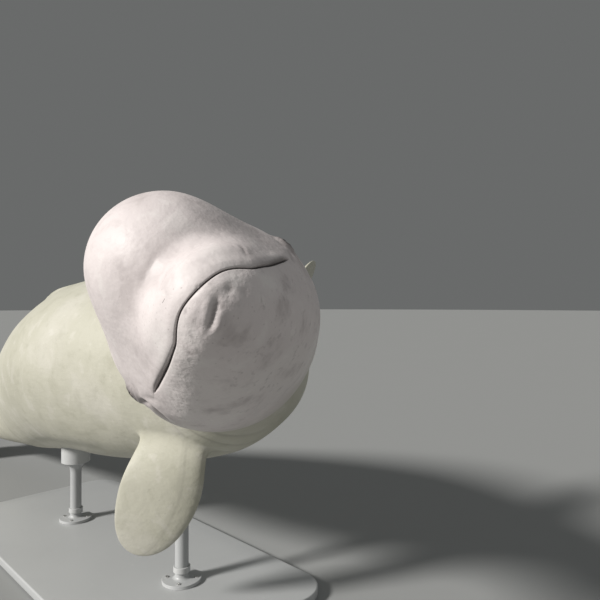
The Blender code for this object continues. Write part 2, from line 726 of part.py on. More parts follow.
def rod_mesh(name, station):
    """A turned rod with a flange below and a saddle that reaches into the belly above."""
    x, y, belly = belly_below(station)
    bottom = BASE_HEIGHT + GAP
    saddle = belly - SADDLE_DROP
    profile = (
        (0.0, bottom),
        (FLANGE_RADIUS, bottom),
        (FLANGE_RADIUS, bottom + FLANGE_HEIGHT),
        (ROD_RADIUS + ROD_FILLET, bottom + FLANGE_HEIGHT),
        (ROD_RADIUS, bottom + FLANGE_HEIGHT + ROD_FILLET),
        (ROD_RADIUS, saddle),
        (SADDLE_RADIUS, saddle + SADDLE_CONE),
        (SADDLE_RADIUS, belly + SADDLE_SUNK),
        (0.0, belly + SADDLE_SUNK),
    )
    bm = bmesh.new()
    verts = [bm.verts.new((x + radius, y, height)) for radius, height in profile]
    edges = [bm.edges.new(pair) for pair in zip(verts[:-1], verts[1:])]
    bmesh.ops.spin(
        bm,
        geom=verts + edges,
        cent=(x, y, 0.0),
        axis=(0.0, 0.0, 1.0),
        angle=2.0 * math.pi,
        steps=ROD_SEGMENTS,
        use_merge=True,
    )
    bmesh.ops.remove_doubles(bm, verts=bm.verts, dist=1e-5)
    bmesh.ops.recalc_face_normals(bm, faces=bm.faces)
    return written(bm, name)


def eye_mesh(name, side, radius):
    """An eyeball, or the room for one."""
    bm = bmesh.new()
    bmesh.ops.create_uvsphere(bm, u_segments=16, v_segments=10, radius=radius)
    bmesh.ops.translate(bm, vec=Vector(posed(eye_centre(side))), verts=bm.verts)
    return written(bm, name)


def finish(name, colour, roughness, metallic=0.0):
    """One material, from its colour, roughness and metallic value."""
    material = bpy.data.materials.new(name)
    material.use_nodes = True
    shader = material.node_tree.nodes["Principled BSDF"]
    shader.inputs["Base Color"].default_value = (*colour, 1.0)
    shader.inputs["Roughness"].default_value = roughness
    shader.inputs["Metallic"].default_value = metallic
    return material


def placed(name, mesh, material, smooth_below=50.0):
    """One named object of the model."""
    mesh.materials.append(material)
    mesh.shade_smooth()
    mesh.set_sharp_from_angle(angle=math.radians(smooth_below))
    obj = bpy.data.objects.new(name, mesh)
    bpy.context.scene.collection.objects.link(obj)
    return obj


def cutter(name, mesh):
    """A hidden helper that cuts room out of a part."""
    obj = bpy.data.objects.new(name, mesh)
    bpy.context.scene.collection.objects.link(obj)
    obj.hide_render = True
    obj.display_type = "WIRE"
    return obj


def cut(obj, by):
    """Takes the cutter out of the object."""
    boolean = obj.modifiers.new("room for " + by.name, "BOOLEAN")
    boolean.operation = "DIFFERENCE"
    boolean.solver = "EXACT"
    boolean.object = by


def main():
    """Builds every part of the whale and its stand."""
    for obj in list(bpy.data.objects):
        bpy.data.objects.remove(obj, do_unlink=True)

    skin = finish("whale skin", BELUGA_WHITE, 0.45)
    eye = finish("whale eye", EYE_BLACK, 0.10)
    metal = finish("stand metal", STAND_GREY, 0.40, 0.6)

    rings, corner_row = head_grid()
    head = placed("head", head_shell(rings, corner_row).mesh("head"), skin)
    placed("lower_jaw", jaw_shell(rings, corner_row).mesh("lower_jaw"), skin)
    for side, word in ((1, "left"), (-1, "right")):
        placed("eye_" + word, eye_mesh("eye_" + word, side, EYE_RADIUS), eye)
        cut(head, cutter("socket_" + word, eye_mesh("socket_" + word, side, EYE_RADIUS + 1.5 * GAP)))

    for name, length in TRUNK_LENGTHS.items():
        placed(name, trunk_shell(length).mesh(name), skin)
    rooms = {
        name: cutter(name + "_room", trunk_shell(TRUNK_LENGTHS[name], 1.5 * GAP).mesh(name + "_room"))
        for name in ("chest", "belly")
    }
    for name, build in FLIPPERS.items():
        cut(placed(name, flipper_shell(build).mesh(name), skin), rooms["chest"])
    for side, word in ((1, "left"), (-1, "right")):
        placed("fluke_" + word, fluke_shell(side).mesh("fluke_" + word), skin)

    placed("stand_base", base_mesh(), metal, smooth_below=30.0)
    for name, station in ROD_STATIONS.items():
        rod = placed(name, rod_mesh(name, station), metal, smooth_below=30.0)
        cut(rod, rooms["chest" if station < CHEST_END else "belly"])


main()
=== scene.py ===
"""Looks of the life-size beluga whale on its display stand.

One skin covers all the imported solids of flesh. It starts as a sphere, whose rings and columns are
moved on to the whale's surface in a straight frame: x is the whale's left, y runs back from the tip
of the snout and z is up from the axis of the body. It is then laid along a curved spine, which gives
the pose, and the flippers are drawn out of its sides. Metres, +Z up.
"""

import logging
import math
from collections.abc import Iterable, Sequence
from dataclasses import dataclass
from enum import Enum
from functools import cached_property
from typing import Any

import bmesh
import bpy
import numpy as np
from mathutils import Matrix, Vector
from mathutils.bvhtree import BVHTree


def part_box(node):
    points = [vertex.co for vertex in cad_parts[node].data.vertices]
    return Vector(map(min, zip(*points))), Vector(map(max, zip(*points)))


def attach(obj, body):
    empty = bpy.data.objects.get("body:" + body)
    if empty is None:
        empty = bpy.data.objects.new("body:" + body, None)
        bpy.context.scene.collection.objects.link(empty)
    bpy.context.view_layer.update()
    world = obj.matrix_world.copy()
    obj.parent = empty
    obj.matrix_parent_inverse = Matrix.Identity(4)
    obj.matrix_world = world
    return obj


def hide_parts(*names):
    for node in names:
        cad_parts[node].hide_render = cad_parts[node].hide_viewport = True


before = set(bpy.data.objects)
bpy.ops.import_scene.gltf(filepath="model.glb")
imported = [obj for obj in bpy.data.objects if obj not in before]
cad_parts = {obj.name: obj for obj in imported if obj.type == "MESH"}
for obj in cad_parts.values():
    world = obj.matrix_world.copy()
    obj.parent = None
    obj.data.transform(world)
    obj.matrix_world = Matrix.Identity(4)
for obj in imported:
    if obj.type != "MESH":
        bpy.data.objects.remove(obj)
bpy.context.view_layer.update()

BODY = "root"
MILLIMETRE = 0.001

Point = tuple[float, float, float]
Colour = tuple[float, float, float]
Span = tuple[float, float]
Settings = dict[str, Any] | None
Inputs = dict[Any, Any] | None

log = logging.getLogger("whale")


class Side(Enum):
    """The two sides of the whale, by the sign of x in the straight frame."""

    LEFT = 1
    RIGHT = -1

    @property
    def word(self) -> str:
        """The side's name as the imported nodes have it."""
        return self.name.lower()


def smooth_step(value: Any, low: float, high: float) -> np.ndarray:
    """0 before low, 1 past high, with no corner between. High may be below low."""
    share = np.clip((np.asarray(value, float) - low) / (high - low), 0.0, 1.0)
    return share * share * (3.0 - 2.0 * share)


def between(value: Any, start: float, end: float, rise: float, fall: float) -> np.ndarray:
    """1 between start and end and 0 outside them, with a smooth rise and fall."""
    return smooth_step(value, start, start + rise) * smooth_step(value, end, end - fall)


def bell(value: Any, centre: Any, width: Any) -> np.ndarray:
    """A smooth hump: 1 at its centre and about a third at its width from there."""
    return np.exp(-(((np.asarray(value, float) - centre) / width) ** 2))


def unit(vectors: Any) -> np.ndarray:
    """Each vector at a length of 1."""
    vectors = np.asarray(vectors, float)
    return vectors / np.linalg.norm(vectors, axis=-1, keepdims=True)


def blended(first: np.ndarray, second: np.ndarray, reach: float) -> np.ndarray:
    """The union of two distance fields, with a fillet about as wide as the reach."""
    overlap = np.maximum(reach - np.abs(first - second), 0.0) / reach
    return np.minimum(first, second) - overlap * overlap * reach / 4.0


@dataclass(frozen=True)
class Section:
    """The half width, top and bottom of the trunk at one station, from the spine."""

    station: float
    wide: float
    top: float
    bottom: float


@dataclass(frozen=True)
class Trunk:
    """The body from the jaw hinge to the tail, as smooth lines through its sections."""

    sections: tuple[Section, ...] = (
        Section(0.38, 0.200, 0.195, -0.185),
        Section(0.52, 0.213, 0.196, -0.212),
        Section(0.66, 0.196, 0.190, -0.192),
        Section(0.86, 0.229, 0.212, -0.248),
        Section(1.20, 0.301, 0.284, -0.334),
        Section(1.65, 0.357, 0.332, -0.376),
        Section(2.15, 0.335, 0.325, -0.335),
        Section(2.60, 0.270, 0.290, -0.268),
        Section(3.00, 0.180, 0.232, -0.198),
        Section(3.40, 0.100, 0.160, -0.135),
        Section(3.70, 0.056, 0.090, -0.080),
        Section(3.88, 0.034, 0.036, -0.034),
    )
    power: float = 2.15
    front_cap: float = 0.20

    def line(self, name: str, station: Any) -> np.ndarray:
        """One line of the trunk.

        Args:
            name: Which line: wide, top or bottom.
            station: Where to read it.

        Returns:
            Its distance from the spine there.
        """
        at = np.array([section.station for section in self.sections])
        value = np.array([getattr(section, name) for section in self.sections])
        slope = np.gradient(value, at)
        station = np.clip(station, at[0], at[-1])
        index = np.clip(np.searchsorted(at, station) - 1, 0, len(at) - 2)
        span = at[index + 1] - at[index]
        t = (station - at[index]) / span
        start = (2 * t**3 - 3 * t**2 + 1) * value[index] + (t**3 - 2 * t**2 + t) * span * slope[index]
        end = (3 * t**2 - 2 * t**3) * value[index + 1] + (t**3 - t**2) * span * slope[index + 1]
        return start + end

    def field(self, points: np.ndarray) -> np.ndarray:
        """Distance, near enough, from each point to the trunk."""
        station = points[..., 1]
        wide, top, bottom = (self.line(name, station) for name in ("wide", "top", "bottom"))
        tall = (top - bottom) / 2.0
        across = np.abs(points[..., 0] / wide)
        up = np.abs((points[..., 2] - (top + bottom) / 2.0) / tall)
        ahead = np.maximum(self.sections[0].station - station, 0.0) / self.front_cap
        size = (across**self.power + up**self.power + ahead**self.power) ** (1.0 / self.power)
        return (size - 1.0) * np.sqrt(wide * tall)


@dataclass(frozen=True)
class Ovoid:
    """One solid of the head, or a mirrored pair of them that stand aside of its middle."""

    side: float
    station: float
    height: float
    wide: float
    long: float
    tall: float

    def field(self, points: np.ndarray) -> np.ndarray:
        """Distance, near enough, from each point to the nearer solid of the pair."""
        radii = np.array((self.wide, self.long, self.tall))
        folded = np.concatenate((np.abs(points[..., :1]), points[..., 1:]), -1)
        single = points if self.side == 0.0 else folded
        scaled = (single - np.array((self.side, self.station, self.height))) / radii
        size = np.linalg.norm(scaled, axis=-1) + 1e-9
        slope = np.linalg.norm(scaled / radii, axis=-1) + 1e-9
        return size * (size - 1.0) / slope


@dataclass(frozen=True)
class Flesh:
    """The whole smooth body without its fins."""

    trunk: Trunk = Trunk()
    cranium: Ovoid = Ovoid(0.0, 0.400, 0.000, 0.213, 0.290, 0.200)
    melon: Ovoid = Ovoid(0.0, 0.225, 0.082, 0.154, 0.171, 0.156)
    cheeks: Ovoid = Ovoid(0.105, 0.345, -0.060, 0.080, 0.135, 0.105)
    jowls: Ovoid = Ovoid(0.046, 0.350, -0.097, 0.111, 0.195, 0.100)
    throat: Ovoid = Ovoid(0.0, 0.470, -0.038, 0.210, 0.260, 0.149)
    upper_jaw: Ovoid = Ovoid(0.0, 0.245, -0.045, 0.130, 0.240, 0.070)
    lower_jaw: Ovoid = Ovoid(0.0, 0.265, -0.116, 0.131, 0.245, 0.083)
    head_blend: float = 0.055
    jaw_blend: float = 0.100
    longest_ray: float = 0.75
    halvings: int = 26

    def field(self, points: np.ndarray) -> np.ndarray:
        """Negative inside the flesh and positive outside it."""
        joined = self.trunk.field(points)
        for solid in (self.cranium, self.throat, self.cheeks, self.jowls, self.melon):
            joined = blended(joined, solid.field(points), self.head_blend)
        jaws = blended(self.upper_jaw.field(points), self.lower_jaw.field(points), self.jaw_blend)
        return blended(joined, jaws, self.head_blend)

    def reach(self, origins: np.ndarray, directions: np.ndarray) -> np.ndarray:
        """Where rays from inside meet the skin.

        Args:
            origins: Where each ray starts.
            directions: Its unit direction.

        Returns:
            The point on the skin for each ray.
        """
        inside = np.zeros(directions.shape[:-1])
        outside = np.full(directions.shape[:-1], self.longest_ray)
        for _ in range(self.halvings):
            middle = (inside + outside) / 2.0
            within = self.field(origins + directions * middle[..., None]) < 0.0
            inside = np.where(within, middle, inside)
            outside = np.where(within, outside, middle)
        return origins + directions * ((inside + outside) / 2.0)[..., None]

    def slope(self, points: np.ndarray, step: float = 0.002) -> np.ndarray:
        """How the field grows along each axis."""
        moved = [self.field(points + step * axis) - self.field(points - step * axis) for axis in np.eye(3)]
        return np.stack(moved, -1) / (2.0 * step)

    def outward(self, points: np.ndarray) -> np.ndarray:
        """The way out of the flesh at each point."""
        return unit(self.slope(points))

    def settled(self, points: np.ndarray, rounds: int = 4) -> np.ndarray:
        """Points that lie near the skin, moved on to it."""
        for _ in range(rounds):
            slope = self.slope(points)
            steepness = np.maximum((slope**2).sum(-1), 1e-6)
            points = points - slope * (self.field(points) / steepness)[..., None]
        return points


FLESH = Flesh()


@dataclass(frozen=True)
class Bend:
    """One smooth stretch of bending and twisting along the spine, in degrees in all."""

    start: float
    end: float
    right: float
    up: float
    twist: float


@dataclass(frozen=True)
class Spine:
    """The curved line on which the straight whale is laid."""

    trunk_height: float = 0.80
    trunk_station: float = 1.70
    nose_up: float = 6.2
    bank: float = 23.6
    length: float = 4.20
    step: float = 0.01
    bends: tuple[Bend, ...] = (
        Bend(0.39, 1.46, 32.0, 43.8, 14.8),
        Bend(1.10, 2.60, -1.4, -26.6, 0.0),
        Bend(2.20, 3.85, 11.8, 17.0, 8.0),
    )

    @staticmethod
    def turned(basis: np.ndarray, axis: np.ndarray, angle: float) -> np.ndarray:
        """Each column of the basis turned about the axis."""
        cosine, sine = math.cos(angle), math.sin(angle)
        columns = [
            column * cosine + np.cross(axis, column) * sine + axis * (axis @ column) * (1.0 - cosine)
            for column in basis.T
        ]
        return np.stack(columns, 1)

    def stepped(self, basis: np.ndarray, station: float) -> np.ndarray:
        """The basis of the next place on the spine.

        Args:
            basis: Left, up and back, as columns, at this place.
            station: Where this place is.

        Returns:
            The basis one step further back.
        """
        angles = np.zeros(3)
        for bend in self.bends:
            share = min(max((station - bend.start) / (bend.end - bend.start), 0.0), 1.0)
            rate = (1.0 - math.cos(2.0 * math.pi * share)) / (bend.end - bend.start) * self.step
            angles += np.radians((-bend.right, bend.up, bend.twist)) * rate
        left, up, back = basis.T
        sideways = math.hypot(angles[0], angles[1])
        if sideways > 0.0:
            axis = np.cross(back, (angles[0] * left + angles[1] * up) / sideways)
            basis = self.turned(basis, axis, sideways)
        return self.turned(basis, basis[:, 2], angles[2])

    def trunk_basis(self) -> np.ndarray:
        """Left, up and back of the trunk in the world, as columns."""
        rise, bank = math.radians(self.nose_up), math.radians(self.bank)
        back = np.array((0.0, math.cos(rise), -math.sin(rise)))
        level_up = np.array((0.0, math.sin(rise), math.cos(rise)))
        level_left = np.array((1.0, 0.0, 0.0))
        up = level_up * math.cos(bank) - level_left * math.sin(bank)
        left = level_left * math.cos(bank) + level_up * math.sin(bank)
        return np.stack((left, up, back), 1)

    @cached_property
    def course(self) -> tuple[np.ndarray, np.ndarray]:
        """Places and bases along the spine in the world, one for each step from the snout tip."""
        place = [np.zeros(3)]
        basis = [np.stack(((1.0, 0.0, 0.0), (0.0, 0.0, 1.0), (0.0, 1.0, 0.0)), 1)]
        for count in range(int(round(self.length / self.step))):
            basis.append(self.stepped(basis[-1], count * self.step))
            place.append(place[-1] + basis[-1][:, 2] * self.step)
        places, bases = np.array(place), np.array(basis)
        middle = int(round(self.trunk_station / self.step))
        carry = self.trunk_basis() @ bases[middle].T
        lift = np.array((0.0, 0.0, self.trunk_height))
        return (places - places[middle]) @ carry.T + lift, carry @ bases

    def lay(self, points: np.ndarray) -> np.ndarray:
        """Straight points laid along the spine."""
        places, bases = self.course
        at = np.clip(points[..., 1] / self.step, 0.0, len(places) - 2.0)
        index = at.astype(int)
        share = (at - index)[..., None]
        origin = places[index] * (1.0 - share) + places[index + 1] * share
        basis = bases[index] * (1.0 - share[..., None]) + bases[index + 1] * share[..., None]
        ahead = np.minimum(points[..., 1:2], 0.0)
        sideways = basis[..., :, 0] * points[..., 0:1] + basis[..., :, 1] * points[..., 2:3]
        return origin + sideways + basis[..., :, 2] * ahead

    def lay_rigidly(self, points: np.ndarray, station: float) -> np.ndarray:
        """Straight points set in the frame of one station, without the bend."""
        places, bases = self.course
        index = int(round(station / self.step))
        local = np.stack((points[..., 0], points[..., 2], points[..., 1] - station), -1)
        return places[index] + local @ bases[index].T


@dataclass(frozen=True)
class Mouth:
    """The mouth line from the tip of the snout to its corners, and the lips along it."""

    tip_height: float = -0.079
    droop: float = 0.018
    droop_end: float = 0.055
    rise: float = 0.030
    rise_start: float = 0.05
    rise_end: float = 0.27
    centre_station: float = 0.300
    corner_station: float = 0.226
    corner_half_width: float = 0.178
    points_on_line: int = 40
    widest_turn: float = 0.9
    halvings: int = 18

    def height(self, station: Any) -> np.ndarray:
        """The mouth line seen from the side."""
        droop = self.droop * smooth_step(station, 0.0, self.droop_end)
        return self.tip_height - droop + self.rise * smooth_step(station, self.rise_start, self.rise_end)

    def ray(self, opening: np.ndarray, turn: np.ndarray) -> tuple[np.ndarray, np.ndarray]:
        """Rays from the middle of the head.

        Args:
            opening: The angle from straight ahead.
            turn: The angle round that, from the whale's left over its top.

        Returns:
            Origins and unit directions.
        """
        directions = np.stack(
            (np.sin(opening) * np.cos(turn), -np.cos(opening), np.sin(opening) * np.sin(turn)), -1
        )
        origins = np.zeros_like(directions)
        origins[..., 1] = self.centre_station
        origins[..., 2] = self.tip_height
        return origins, directions

    def turn(self, opening: np.ndarray) -> np.ndarray:
        """For each opening, the turn at which the skin lies on the mouth line."""
        low = np.full(opening.shape, -self.widest_turn)
        high = np.full(opening.shape, self.widest_turn)
        for _ in range(self.halvings):
            middle = (low + high) / 2.0
            skin = FLESH.reach(*self.ray(opening, middle))
            above = skin[..., 2] > self.height(skin[..., 1])
            high = np.where(above, middle, high)
            low = np.where(above, low, middle)
        return (low + high) / 2.0

    @cached_property
    def line(self) -> np.ndarray:
        """Points on the skin along the mouth line, from the tip to the left corner."""
        corner = math.atan2(self.corner_half_width, self.centre_station - self.corner_station)
        openings = np.linspace(0.0, corner, self.points_on_line)
        return FLESH.reach(*self.ray(openings, self.turn(openings)))

    def coordinates(self, points: np.ndarray) -> tuple[np.ndarray, np.ndarray]:
        """How far above the mouth line each point is, and how far along it from the tip."""
        apart, along = nearest_on(self.line, points, mirrored=True)
        return apart * np.where(points[..., 2] > self.height(points[..., 1]), 1.0, -1.0), along


def nearest_on(line: np.ndarray, points: np.ndarray, mirrored: bool) -> tuple[np.ndarray, np.ndarray]:
    """How points lie to a line of straight stretches.

    Args:
        line: The line's corners, in order.
        points: The points.
        mirrored: Whether the line also runs on the other side of the whale.

    Returns:
        The distance of each point from the line, and how far along the line it is, in metres.
    """
    sought = np.concatenate((np.abs(points[..., :1]), points[..., 1:]), -1) if mirrored else points
    apart = np.full(points.shape[:-1], np.inf)
    along = np.zeros(points.shape[:-1])
    passed = 0.0
    for start, end in zip(line[:-1], line[1:]):
        reach = end - start
        share = np.clip(((sought - start) @ reach) / (reach @ reach), 0.0, 1.0)
        distance = np.linalg.norm(sought - start - share[..., None] * reach, axis=-1)
        closer = distance < apart
        apart = np.where(closer, distance, apart)
        along = np.where(closer, passed + share * np.linalg.norm(reach), along)
        passed += float(np.linalg.norm(reach))
    return apart, along


SPINE = Spine()
MOUTH = Mouth()


@dataclass(frozen=True)
class Relief:
    """How far a feature raises the skin, and how much shade is painted in its hollows; round the eyes this
    also holds dark skin.
    """

    height: np.ndarray
    hollow: np.ndarray

    def __add__(self, other: "Relief") -> "Relief":
        """Both features together."""
        return Relief(self.height + other.height, np.maximum(self.hollow, other.hollow))


@dataclass(frozen=True)
class Lips:
    """The parting of the mouth, wider towards its corners, under an overhanging upper lip. Shade is painted
    in the parting and in a band under the upper lip.
    """

    depth_tip: float = 0.0042
    depth_corner: float = 0.0080
    width_tip: float = 0.0016
    width_corner: float = 0.0036
    upper_swell: float = 0.0021
    upper_offset: float = 0.0120
    upper_width: float = 0.0130
    lower_swell: float = 0.0012
    lower_offset: float = -0.0150
    lower_width: float = 0.0120
    corner_fade: float = 0.030
    shade: float = 0.60
    shade_offset: float = 0.0042
    shade_width: float = 0.0046
    parting_shade: float = 0.75
    parting_offset: float = -0.0004
    widening: Span = (0.10, 0.80)
    corner_narrowing: float = 0.55
    corner_flattening: float = 0.75

    def relief(self, points: np.ndarray) -> Relief:
        """The lips' part of the skin."""
        above, along = MOUTH.coordinates(points)
        length = float(np.linalg.norm(np.diff(MOUTH.line, axis=0), axis=1).sum())
        share = along / length
        widen = smooth_step(share, *self.widening)
        ending = 1.0 - self.corner_narrowing * smooth_step(along, length - self.corner_fade, length)
        width = (self.width_tip + (self.width_corner - self.width_tip) * widen) * ending
        depth = (self.depth_tip + (self.depth_corner - self.depth_tip) * widen) * ending
        parting = bell(above, 0.0, width)
        flat = smooth_step(along, length - 2.0 * self.corner_fade, length)
        swelling = 1.0 - self.corner_flattening * flat
        upper = self.upper_swell * bell(above, self.upper_offset, self.upper_width)
        lower = self.lower_swell * bell(above, self.lower_offset, self.lower_width)
        # Painted shade under the overhanging upper lip, and in the parting.
        under_lip = self.shade * widen * bell(above, self.shade_offset, self.shade_width)
        in_parting = self.parting_shade * bell(above, self.parting_offset, width)
        hollow = np.maximum(in_parting, under_lip * ending)
        return Relief((upper + lower) * swelling - depth * parting, hollow)


@dataclass(frozen=True)
class Crease:
    """A fold in the skin along a line, with a soft crest beside it and shade painted in its groove."""

    line: tuple[Point, ...]
    depth: float
    width: float
    crest: float = 0.0
    crest_width: float = 0.012
    painted_shade: float = 0.5
    fade: float = 0.03
    end_fade: float | None = None
    mirrored: bool = False

    def relief(self, points: np.ndarray) -> Relief:
        """The fold's part of the skin."""
        corners = rounded_line(self.line)
        length = float(np.linalg.norm(np.diff(corners, axis=0), axis=1).sum())
        apart, along = nearest_on(corners, points, self.mirrored)
        end_fade = self.fade if self.end_fade is None else self.end_fade
        ends = between(along, 0.0, length, self.fade, end_fade)
        groove = bell(apart, 0.0, self.width)
        crest = self.crest * bell(apart, self.width + self.crest_width, self.crest_width)
        return Relief(ends * (crest - self.depth * groove), ends * self.painted_shade * groove)


@dataclass(frozen=True)
class Mound:
    """A soft round swelling of the skin, or a dent where its height is negative, with shade painted in the
    dent.
    """

    place: Point
    radius: float
    height: float
    painted_shade: float = 0.0

    def relief(self, points: np.ndarray) -> Relief:
        """The mound's part of the skin."""
        hump = bell(np.linalg.norm(points - np.array(self.place), axis=-1), 0.0, self.radius)
        return Relief(self.height * hump, self.painted_shade * hump)


def rounded_line(corners: Sequence[Point], per_stretch: int = 8) -> np.ndarray:
    """A smooth line through a few points.

    Args:
        corners: The points that it passes.
        per_stretch: How many pieces there are between two of them.

    Returns:
        Its points, by a Catmull-Rom curve.
    """
    given = np.array(corners, float)
    ends = np.concatenate(([2.0 * given[0] - given[1]], given, [2.0 * given[-1] - given[-2]]))
    drawn = []
    for before, start, end, after in zip(ends[:-3], ends[1:-2], ends[2:-1], ends[3:]):
        for t in np.linspace(0.0, 1.0, per_stretch, endpoint=False):
            bend = (2.0 * before - 5.0 * start + 4.0 * end - after) * t**2
            twist = (3.0 * start - before - 3.0 * end + after) * t**3
            drawn.append(0.5 * (2.0 * start + (end - before) * t + bend + twist))
    return np.array([*drawn, given[-1]])


@dataclass(frozen=True)
class Lids:
    """The lids round one eye: an almond opening over the ball, and the soft folds about it. Shade is painted
    in the opening and folds, and the dark patch round the eye is partly dark skin and partly painted shade of
    the socket.
    """

    side: Side
    station: float = 0.312
    height: float = -0.016
    ball: float = 0.0165
    proud: float = 0.0105
    half_length: float = 0.0135
    half_height: float = 0.0078
    slant: float = 0.20
    almond_power: float = 1.55
    rim: float = 0.0016
    pocket: float = 0.0080
    brow: float = 0.0090
    brow_radius: float = 0.024
    brow_width: float = 0.015
    joint: float = 0.0045
    # The dark patch round the eye: partly dark skin, partly painted shade of the socket.
    patch_radius: float = 0.0290
    patch_drop: float = 0.0050
    patch_darkness: float = 1.00
    reach: float = 3.0
    brow_at: float = 0.6
    brow_ending: Span = (2.0, 2.8)
    joint_from: float = 0.80
    opening_edge: Span = (-0.0004, 0.0012)
    dark_edge: Span = (-0.0030, 0.0004)
    fold_shade: float = 0.30
    folds: tuple[tuple[float, float, float], ...] = ((0.0078, 0.0008, 0.0021), (0.0160, 0.0007, 0.0034))

    @cached_property
    def skin(self) -> np.ndarray:
        """The point of the smooth skin under the eye."""
        origin = np.array((0.0, self.station, self.height))
        return FLESH.reach(origin, np.array((float(self.side.value), 0.0, 0.0)))

    @cached_property
    def centre(self) -> np.ndarray:
        """The middle of the eyeball in the straight frame."""
        return self.skin + np.array((self.side.value * (self.proud - self.ball), 0.0, 0.0))

    def relief(self, points: np.ndarray) -> Relief:
        """The lids' part of the skin."""
        out = FLESH.outward(self.skin)
        back = unit(np.array((0.0, 1.0, 0.0)) - out * out[1])
        up = np.cross(back, out) * self.side.value
        offset = points - self.skin
        middle = self.centre - self.skin
        a = offset @ back - middle @ back
        b = offset @ up - middle @ up
        radial = np.hypot(a, b)
        dome = np.sqrt(np.maximum(self.ball**2 - radial**2, 0.0))
        over_ball = middle @ out + dome - (offset @ out)
        along = a * math.cos(self.slant) + b * math.sin(self.slant)
        across = b * math.cos(self.slant) - a * math.sin(self.slant)
        power = self.almond_power
        shape = np.abs(along / self.half_length) ** power + np.abs(across / self.half_height) ** power
        edge = (shape ** (1.0 / power) - 1.0) * self.half_height
        near = np.linalg.norm(offset, axis=-1) < self.reach * self.brow_radius
        swell = self.brow * bell(radial, self.brow_radius * self.brow_at, self.brow_width)
        over = over_ball + self.rim - self.joint * smooth_step(radial, self.joint_from * self.ball, self.ball)
        lid = np.where(radial < self.ball, -blended(-over, -swell, self.joint), swell)
        lid = lid * (1.0 - smooth_step(radial, *(share * self.brow_radius for share in self.brow_ending)))
        hollow = np.zeros(radial.shape)
        for where, depth, width in self.folds:
            fold = bell(edge, where, width) * smooth_step(np.abs(across), 0.0, 0.5 * where)
            lid = lid - depth * fold
            hollow = np.maximum(hollow, self.fold_shade * fold)
        opening = smooth_step(-edge, *self.opening_edge)
        height = lid * (1.0 - opening) + (over_ball - self.pocket) * opening
        # Painted shade in the opening of the lids, round the ball.
        hollow = np.maximum(hollow, smooth_step(-edge, *self.dark_edge))
        # The dark patch: partly dark skin, partly painted shade of the socket.
        from_patch = np.hypot(a, b + self.patch_drop)
        hollow = np.maximum(hollow, self.patch_darkness * bell(from_patch, 0.0, self.patch_radius))
        return Relief(np.where(near, height, 0.0), np.where(near, hollow, 0.0))


@dataclass(frozen=True)
class Blowhole:
    """The crescent slit on the top of the head, with its raised lips and shade painted in the slit."""

    station: float = 0.500
    half_width: float = 0.034
    bend: float = 0.012
    slit: float = 0.0040
    depth: float = 0.0090
    lip: float = 0.0030
    lip_offset: float = 0.013
    lip_width: float = 0.008
    slit_ending: Span = (0.75, 1.15)
    lip_ending: Span = (0.9, 1.6)

    def relief(self, points: np.ndarray) -> Relief:
        """The blowhole's part of the skin."""
        across = np.abs(points[..., 0]) / self.half_width
        behind = points[..., 1] - self.station - self.bend * across**2
        ends = (1.0 - smooth_step(across, *self.slit_ending)) * (points[..., 2] > 0.0)
        around = (1.0 - smooth_step(across, *self.lip_ending)) * (points[..., 2] > 0.0)
        slit = bell(behind, 0.0, self.slit) * ends
        lips = bell(np.abs(behind), self.lip_offset, self.lip_width) * around
        # The slit's mask is also its painted shade.
        return Relief(self.lip * lips - self.depth * slit, slit)


@dataclass(frozen=True)
class BackRidge:
    """The low knobbly ridge that a beluga has in place of a back fin."""

    start: float = 1.70
    end: float = 2.65
    fade: float = 0.25
    height: float = 0.020
    half_width: float = 0.030
    knob: float = 0.05
    knob_share: float = 0.10

    def relief(self, points: np.ndarray) -> Relief:
        """The ridge's part of the skin."""
        station = points[..., 1]
        ends = between(station, self.start, self.end, self.fade, self.fade)
        crest = bell(points[..., 0], 0.0, self.half_width) * (points[..., 2] > 0.0)
        knobs = 1.0 - self.knob_share * (1.0 + np.cos(2.0 * math.pi * station / self.knob)) / 2.0
        return Relief(self.height * ends * crest * knobs, np.zeros(station.shape))


